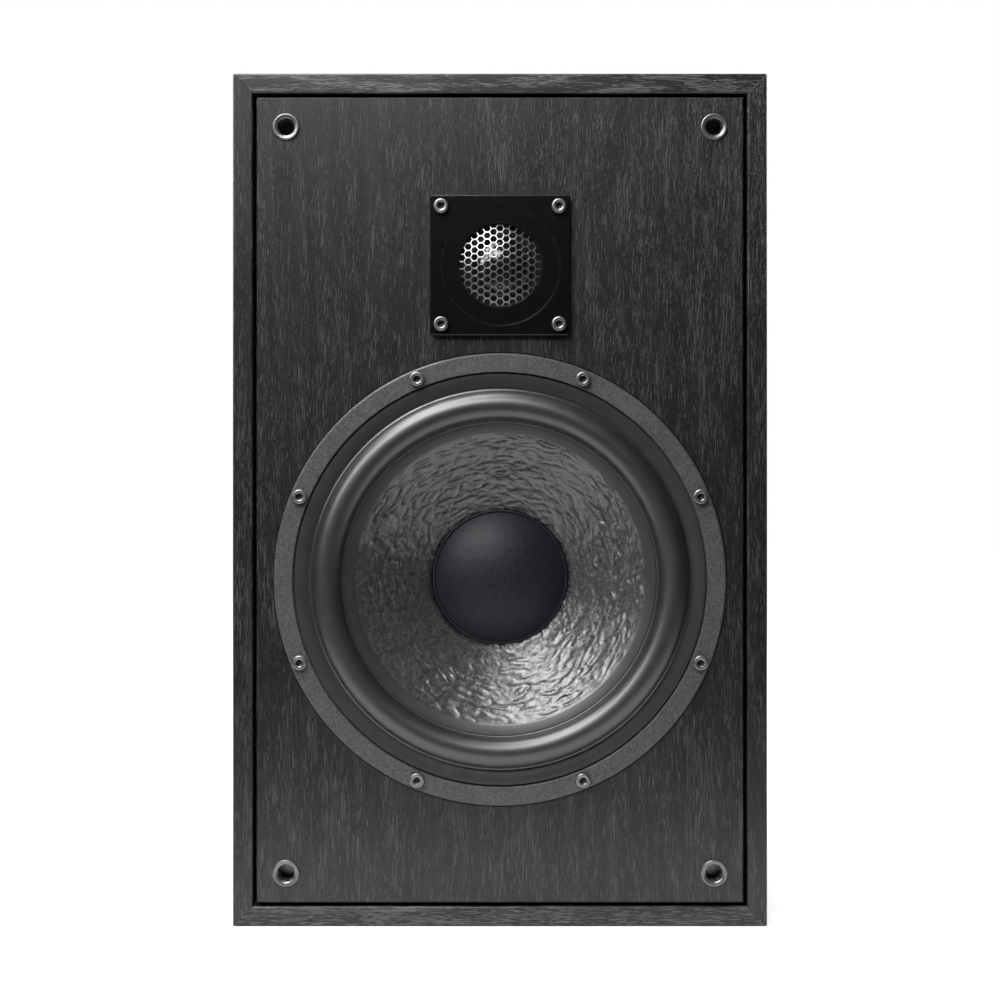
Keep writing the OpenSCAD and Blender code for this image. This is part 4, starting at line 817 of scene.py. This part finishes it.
# How far the pressed pulp stands out of the cone's even surface, in mm
def creases(radius, angle):
    look = coneLook
    strong = smoothStep(radius, *look["growth"])
    patch = 0.5 + pulpWave("patch", radius, angle)
    side = 0.66 + 0.34 * math.cos(angle - math.radians(look["litSide"]))
    drift = 0.9 * pulpWave("drift", radius, angle)
    folds = pulpWave("fold", radius, angle, drift)
    folds += 0.5 * pulpWave("crease", radius, angle, drift)
    ridge = 1 - 2 * min(abs(1.9 * folds), 1)
    wide = pulpWave("wide", radius, angle)
    small = pulpWave("small", radius, angle)
    size = (0.3 + 0.7 * strong * side) * (0.45 + 0.75 * patch)
    edges = smoothStep(radius, look["neck"], look["neck"] + 2) * (1 - smoothStep(radius, *look["fade"]))
    return edges * (look["deep"] * size * (0.4 * ridge + 0.5 * wide)
                    + look["fine"] * (0.4 + 0.6 * size) * small)


def addCone():
    look = coneLook
    work = bmesh.new()
    count = round((look["rim"] - look["neck"]) / look["step"])
    rings = []

    def level(radius):
        return look["rimHeight"] - (look["rim"] - radius) * look["slope"]

    for i in range(count + 1):
        radius = look["neck"] + (look["rim"] - look["neck"]) * i / count
        ring = []
        for k in range(look["segments"]):
            angle = math.tau * k / look["segments"]
            ring.append(work.verts.new(onAxis(wooferAt, radius, angle, level(radius) + creases(radius, angle))))
        rings.append(ring)
    back = [(look["flange"], look["rimHeight"]), (look["flange"], look["rimHeight"] - 1),
            (look["rim"] + 0.6, look["rimHeight"] - look["thick"]),
            (look["neck"], level(look["neck"]) - look["thick"])]
    for radius, height in back:
        rings.append([work.verts.new(point) for point in turnOf(wooferAt, radius, height, look["segments"])])
    for first, second in zip(rings, rings[1:] + rings[:1]):
        for k in range(look["segments"]):
            m = (k + 1) % look["segments"]
            work.faces.new((first[k], first[m], second[m], second[k]))
    piece = addPiece("wooferCone", work, finishes["pulp"], cone, 80)
    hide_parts("woofer_cone")


addCone()
print("cone pressed")

# Felt dust cap, in mm: a dome inside a flat edge that is glued to the cone
capLook = {"segments": 200, "edge": 33.2, "dome": 31.6, "rise": 10.0, "base": -30.17, "sheet": 0.8,
           "dent": 0.05, "dentSize": 3.5}


def addDustCap():
    look = capLook
    rimHeight = coneLook["rimHeight"] - (coneLook["rim"] - look["edge"]) * coneLook["slope"] + 0.1
    outline = [(look["edge"], rimHeight), (look["edge"], rimHeight + 0.35),
               (look["edge"] - 0.2, rimHeight + 0.55),
               (look["edge"] - 0.9, rimHeight + 0.5), (look["dome"] + 0.35, look["base"] - 0.18)]
    for i in range(61):
        radius = look["dome"] * (1 - i / 60)
        outline.append((radius, capHeight(radius, look["dome"], look["rise"], look["base"])))
    inner = look["dome"] - look["sheet"]
    for i in range(31):
        radius = inner * i / 30
        outline.append((radius, capHeight(radius, inner, look["rise"] - look["sheet"], look["base"])))
    outline.append((inner, rimHeight - (look["edge"] - inner) * coneLook["slope"]))
    work = bmesh.new()
    lathe(work, wooferAt, outline, look["segments"])
    bmesh.ops.remove_doubles(work, verts=work.verts, dist=0.001 * mm)
    for vertex in work.verts:
        spot = vertex.co - wooferAt
        radius = math.hypot(spot.x, spot.z) / mm
        if radius < look["dome"] - 1:
            vertex.co.y += look["dent"] * mm * noise.fractal(spot / (look["dentSize"] * mm), 1.0, 2.0, 3)
    piece = addPiece("wooferDustCap", work, finishes["capFelt"], cone, 50)
    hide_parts("woofer_dust_cap")


addDustCap()

# Spider and leads keep their form and stretch between coil and basket, over these lengths in mm
spiderLook = {"inner": 22, "outer": 50}
leadLook = {"stillEnd": 8, "movingEnd": 6}


def addSpider():
    work = copied("woofer_spider", 0)
    piece = addPiece("wooferSpider", work, finishes["cloth"], None, 60)
    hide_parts("woofer_spider")
    blendRing(piece, cone, wooferAt, spiderLook["inner"], spiderLook["outer"])


def addTinselLeads():
    work = copied("woofer_tinsel_leads", 0)
    piece = addPiece("wooferTinselLeads", work, finishes["tinsel"], None, 80)
    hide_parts("woofer_tinsel_leads")
    low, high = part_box("woofer_tinsel_leads")
    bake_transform(piece, cabinet, cone, (0, high.y, low.z), (0, low.y, high.z))
    start, stop = low.z + leadLook["stillEnd"] * mm, high.z - leadLook["movingEnd"] * mm
    weights = piece.data.attributes["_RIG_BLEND"].data
    for vertex in piece.data.vertices:
        weights[vertex.index].value = smoothStep(vertex.co.z, start, stop)


addSpider()
addTinselLeads()

basketLook = {"edge": 0.4}
softened("woofer_basket", "wooferBasket", finishes["ringPaint"], basketLook["edge"],
         segments=3)
print("woofer done")

# Cap screws, in mm: circle and plateReach place them, ring and plate are the levels they seat on
screwLook = {"segments": 72, "head": 3.5, "height": 2.6, "socket": 1.5, "deep": 1.75, "shank": 2.0,
             "length": 18.0, "circle": 103.3, "count": 8, "ring": 1.5, "plate": 3.2, "plateReach": 28.0}


# A cap screw with a rounded head and a hexagon socket, seated at level; the socket's inside takes a second,
# near-black finish that is painted shade
def addScrew(work, at, offset, level, turn):
    look = screwLook
    n = look["segments"]
    head, top = look["head"], level + look["height"]
    profile = [(0.01, level - look["length"]), (look["shank"] - 0.5, level - look["length"]),
               (look["shank"], level - look["length"] + 0.5), (look["shank"], level), (head - 0.15, level),
               (head, level + 0.15), (head, top - 0.85)]
    profile += arc(head - 0.7, top - 0.8, 0.7, 0.8, 6, 90, 8)
    profile += [(head - 1.1, top + 0.01), (head - 1.45, top - 0.04)]
    rings = [turnOf(at, radius, height, n) for radius, height in profile]

    def hexagon(apothem, height, soft):
        ring = []
        for k in range(n):
            angle = math.tau * k / n
            local = (angle - turn + math.pi / 6) % (math.pi / 3) - math.pi / 6
            radius = min(apothem / math.cos(local), apothem * 1.1) * (1 - soft) + (apothem + 0.22) * soft
            ring.append(onAxis(at, radius, angle, height))
        return ring

    rings += [hexagon(look["socket"], top - 0.16, 1), hexagon(look["socket"], top - 0.42, 0),
              hexagon(look["socket"], top - look["deep"], 0), hexagon(0.3, top - look["deep"] - 0.5, 0)]
    shift = Vector((offset[0] * mm, 0, offset[1] * mm))
    loops = [[work.verts.new(point + shift) for point in ring] for ring in rings]
    for i, (first, second) in enumerate(zip(loops, loops[1:])):
        for k in range(n):
            m = (k + 1) % n
            face = work.faces.new((first[k], first[m], second[m], second[k]))
            face.material_index = int(i >= len(profile) + 1)
    work.faces.new(loops[0])
    work.faces.new(loops[-1]).material_index = 1


def addScrewSet(name, node, at, level, places):
    work = bmesh.new()
    for offset, turn in places:
        addScrew(work, at, offset, level, turn)
    piece = addPiece(name, work, finishes["gunmetal"], cabinet, 40)
    # The second finish paints shade inside the sockets
    piece.data.materials.append(finishes["paintedShadeSocket"])
    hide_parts(node)


def addFrontScrews():
    look = screwLook
    circle, count, reach = look["circle"], look["count"], look["plateReach"]
    angles = [math.tau * (i + 0.5) / count for i in range(count)]
    addScrewSet("wooferScrews", "woofer_screws", wooferAt, look["ring"],
                [((circle * math.cos(angle), circle * math.sin(angle)), i * 0.7)
                 for i, angle in enumerate(angles)])
    corners = ((-reach, -reach), (reach, -reach), (reach, reach), (-reach, reach))
    addScrewSet("tweeterScrews", "tweeter_screws", tweeterAt, look["plate"],
                [(corner, 0.3 + i * 0.8) for i, corner in enumerate(corners)])


addFrontScrews()

# Grille sockets, in mm from the baffle's face: x is how far out they sit
socketLook = {"segments": 96, "x": 102.1, "flange": 6.4, "proud": 1.2, "mouth": 3.9, "sleeve": 5.2,
              "deep": 13.0, "floor": 11.8, "prongs": 9, "prongIn": 3.5, "prongTop": -1.6, "prongFoot": -8.5}


def addSockets():
    look = socketLook
    work = bmesh.new()
    flange, proud, mouth = look["flange"], look["proud"], look["mouth"]
    bottom, floor = 0.1 - look["deep"], -look["floor"]
    outline = [(0, bottom), (look["sleeve"], bottom), (look["sleeve"], 0), (flange, 0.02),
               (flange, proud - 0.6)]
    outline += arc(flange - 0.6, proud - 0.6, 0.6, 0.6, 10, 90, 6)
    outline += [(flange - 1.3, proud - 0.05), (mouth + 0.75, proud - 0.3), (mouth + 0.3, proud - 0.5),
                (mouth + 0.05, proud - 0.95), (mouth, proud - 1.5), (mouth, floor), (0, floor)]
    low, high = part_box("grille_sockets")
    for x in (-look["x"], look["x"]):
        for z in (low.z + flange * mm, high.z - flange * mm):
            at = Vector((x * mm, faceY, z))
            lathe(work, at, outline, look["segments"])
            for i in range(look["prongs"]):
                addProng(work, at, math.tau * (i + 0.5) / look["prongs"])
    piece = addPiece("grilleSockets", work, finishes["socketShell"], cabinet, 40)
    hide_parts("grille_sockets")


# A sprung finger on the socket's wall, with a ramp that guides the peg in
def addProng(work, at, angle):
    look = socketLook
    wall, inner, top, low = look["mouth"] + 0.3, look["prongIn"], look["prongTop"], -look["floor"] - 0.3
    shape = [(wall, top), (inner + 0.35, top - 0.15), (inner, top - 0.9), (inner, look["prongFoot"]),
             (inner + 0.5, low), (wall, low)]
    sides = []
    for spread in (-0.5, 0.5):
        side = []
        for radius, height in shape:
            wide = spread * (0.9 if radius < wall - 0.1 else 1.25)
            turn = angle + math.atan2(wide, radius)
            side.append(work.verts.new(onAxis(at, radius, turn, height)))
        sides.append(side)
    for i in range(len(shape)):
        j = (i + 1) % len(shape)
        work.faces.new((sides[0][i], sides[0][j], sides[1][j], sides[1][i]))
    work.faces.new(sides[0])
    work.faces.new(sides[1])


addSockets()
print("front screws and sockets done")

plateLook = {"edge": 0.4, "angle": 25}
softened("tweeter_faceplate", "tweeterPlate", finishes["plateSatin"], plateLook["edge"],
         angle=plateLook["angle"], segments=1)

# Mesh guard over the dome, in mm
guardLook = {"segments": 144, "radius": 19.8, "rise": 5.0, "base": 1.6, "pitch": 3.5, "strand": 0.62,
             "thick": 0.55, "seat": 18.8, "foot": 0.6, "join": 0.02}


# The wire guard: each hole is a ring of six sides, and neighbours share the line between them
def addGuard():
    look = guardLook
    work = bmesh.new()
    step, edge = look["pitch"] * math.cos(math.pi / 6), look["pitch"] / math.sqrt(3)
    inner = (look["pitch"] - look["strand"]) / math.sqrt(3)
    half = look["thick"] / 2
    wide = edge - inner
    section = [(0.0, half), (0.66, half * 0.97), (0.9, half * 0.6), (1.0, 0.0),
               (0.7, -half * 0.9), (0.0, -half)]
    shared = {}
    reach = look["radius"] - 0.15

    def spot(x, z, lift):
        distance = math.hypot(x, z)
        if distance > reach:
            x, z = x * reach / distance, z * reach / distance
        height = capHeight(math.hypot(x, z), look["radius"], look["rise"], look["base"]) - half + lift
        key = (round(x, 3), round(z, 3), round(lift, 3))
        if key not in shared:
            shared[key] = work.verts.new(tweeterAt + Vector((x * mm, -height * mm, z * mm)))
        return shared[key]

    count = math.ceil(reach / step) + 1
    for i in range(-count, count + 1):
        for j in range(-count, count + 1):
            cx, cz = i * step, (j + (0.5 if i % 2 else 0)) * look["pitch"]
            if math.hypot(cx, cz) > reach + edge * 0.35:
                continue
            rings = []
            for share, lift in section:
                size = edge - wide * share
                ring = [spot(cx + size * math.cos(math.pi / 3 * k), cz + size * math.sin(math.pi / 3 * k), lift)
                        for k in range(6)]
                rings.append(ring)
            for first, second in zip(rings, rings[1:]):
                for k in range(6):
                    m = (k + 1) % 6
                    loop = list(dict.fromkeys((first[k], first[m], second[m], second[k])))
                    if len(loop) > 2 and not work.faces.get(loop):
                        work.faces.new(loop)
    bmesh.ops.remove_doubles(work, verts=work.verts, dist=look["join"] * mm)
    bmesh.ops.dissolve_degenerate(work, edges=work.edges, dist=look["join"] * mm)
    mesh = set(work.faces)
    outer, seat, base, foot = look["radius"], look["seat"], look["base"], look["foot"]
    rim = [(outer, foot), (outer, base - 0.1), (outer - 0.2, base + 0.15), (seat + 0.5, base + 0.1),
           (seat + 0.3, base - 0.3), (seat, foot)]
    lathe(work, tweeterAt, rim, look["segments"])
    for face in work.faces:
        face.material_index = int(face not in mesh)
    piece = addPiece("tweeterGuard", work, finishes["meshChrome"], cabinet, 50)
    piece.data.materials.append(finishes["plateSatin"])
    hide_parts("tweeter_mesh")


addGuard()

# Dome and the small roll round it, in mm
domeLook = {"segments": 144, "edge": 12.5, "rise": 4.2, "base": -1.0, "sheet": 0.4, "roll": 16.0,
            "rollWide": 3.2, "rollRise": 1.3, "land": 18.9}


def addDome():
    look = domeLook
    outline = [(look["edge"], look["base"] - 0.4)]
    for i in range(49):
        radius = look["edge"] * (1 - i / 48)
        outline.append((radius, capHeight(radius, look["edge"], look["rise"], look["base"])))
    inner = look["edge"] - look["sheet"]
    for i in range(25):
        radius = inner * i / 24
        outline.append((radius, capHeight(radius, inner, look["rise"] - look["sheet"], look["base"])))
    outline.append((inner, look["base"] - 0.4))
    work = bmesh.new()
    lathe(work, tweeterAt, outline, look["segments"])
    bmesh.ops.remove_doubles(work, verts=work.verts, dist=0.001 * mm)
    piece = addPiece("tweeterDome", work, finishes["domeGloss"], dome, 50)
    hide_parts("tweeter_dome")


def addDomeSurround():
    look = domeLook
    low = look["base"] - 0.05
    top = low + look["sheet"]
    mid = look["roll"] - look["rollWide"] / 2
    outline = [(look["land"], low), (look["land"], top)]
    outline += arc(mid, top, look["rollWide"] / 2, look["rollRise"], 0, 180, 24)
    outline += [(look["edge"] + 0.03, top), (look["edge"] + 0.03, low)]
    outline += arc(mid, low, look["rollWide"] / 2 - look["sheet"], look["rollRise"] - look["sheet"],
                   180, 0, 20)
    work = bmesh.new()
    lathe(work, tweeterAt, outline, look["segments"])
    piece = addPiece("tweeterSurround", work, finishes["dopedCloth"], None, 50)
    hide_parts("tweeter_surround")
    blendRing(piece, dome, tweeterAt, look["roll"] - look["rollWide"] + 0.1, look["roll"])


addDome()
addDomeSurround()
print("tweeter done")

# Terminal cup and the two knobs of the binding posts; edges in mm
terminalLook = {"cupEdge": 0.3, "knobEdge": 0.12}
softened("terminal_cup", "terminalCup", finishes["mouldedBlack"], terminalLook["cupEdge"])
softened("red_knob", "redKnob", finishes["knobRed"], terminalLook["knobEdge"], smooth=50)
softened("black_knob", "blackKnob", finishes["knobBlack"], terminalLook["knobEdge"],
         smooth=50)

# CAD nodes that keep their own shape, and the finish of each
nodeFinish = {
    "window_brace": "board", "front_cleats": "board", "rear_cleats": "board",
    "back_screws": "blackSteel", "cup_screws": "blackSteel", "threaded_inserts": "brass",
    "woofer_gasket": "foamRubber", "tweeter_gasket": "foamRubber", "terminal_gasket": "foamRubber",
    "woofer_former": "aluminium", "woofer_coil": "coilWire", "tweeter_coil": "coilWire",
    "woofer_top_plate": "zincPlate", "woofer_yoke": "zincPlate", "tweeter_top_plate": "zincPlate",
    "tweeter_yoke": "zincPlate", "woofer_magnet": "ferrite", "tweeter_magnet": "ferrite",
    "woofer_terminals": "phenolic", "tweeter_terminals": "phenolic",
    "tweeter_mount_ring": "mouldedBlack", "crossover_board": "circuit", "crossover_standoffs": "nylon",
    "choke_windings": "chokeWire", "choke_bobbins": "mouldedBlack",
    "crossover_capacitors": "filmYellow", "crossover_resistors": "ceramic",
    "post_lock_nuts": "goldPlate", "red_post": "goldPlate", "black_post": "goldPlate",
    "red_nut": "brass", "black_nut": "brass", "red_collar": "knobRed", "black_collar": "knobBlack",
    "red_wires": "redSleeve", "black_wires": "blackSleeve",
}
for node, finishName in nodeFinish.items():
    for holder in nodes[node].material_slots:
        holder.link = "OBJECT"
        holder.material = finishes[finishName]
print("carried-over nodes finished:", len(nodeFinish))
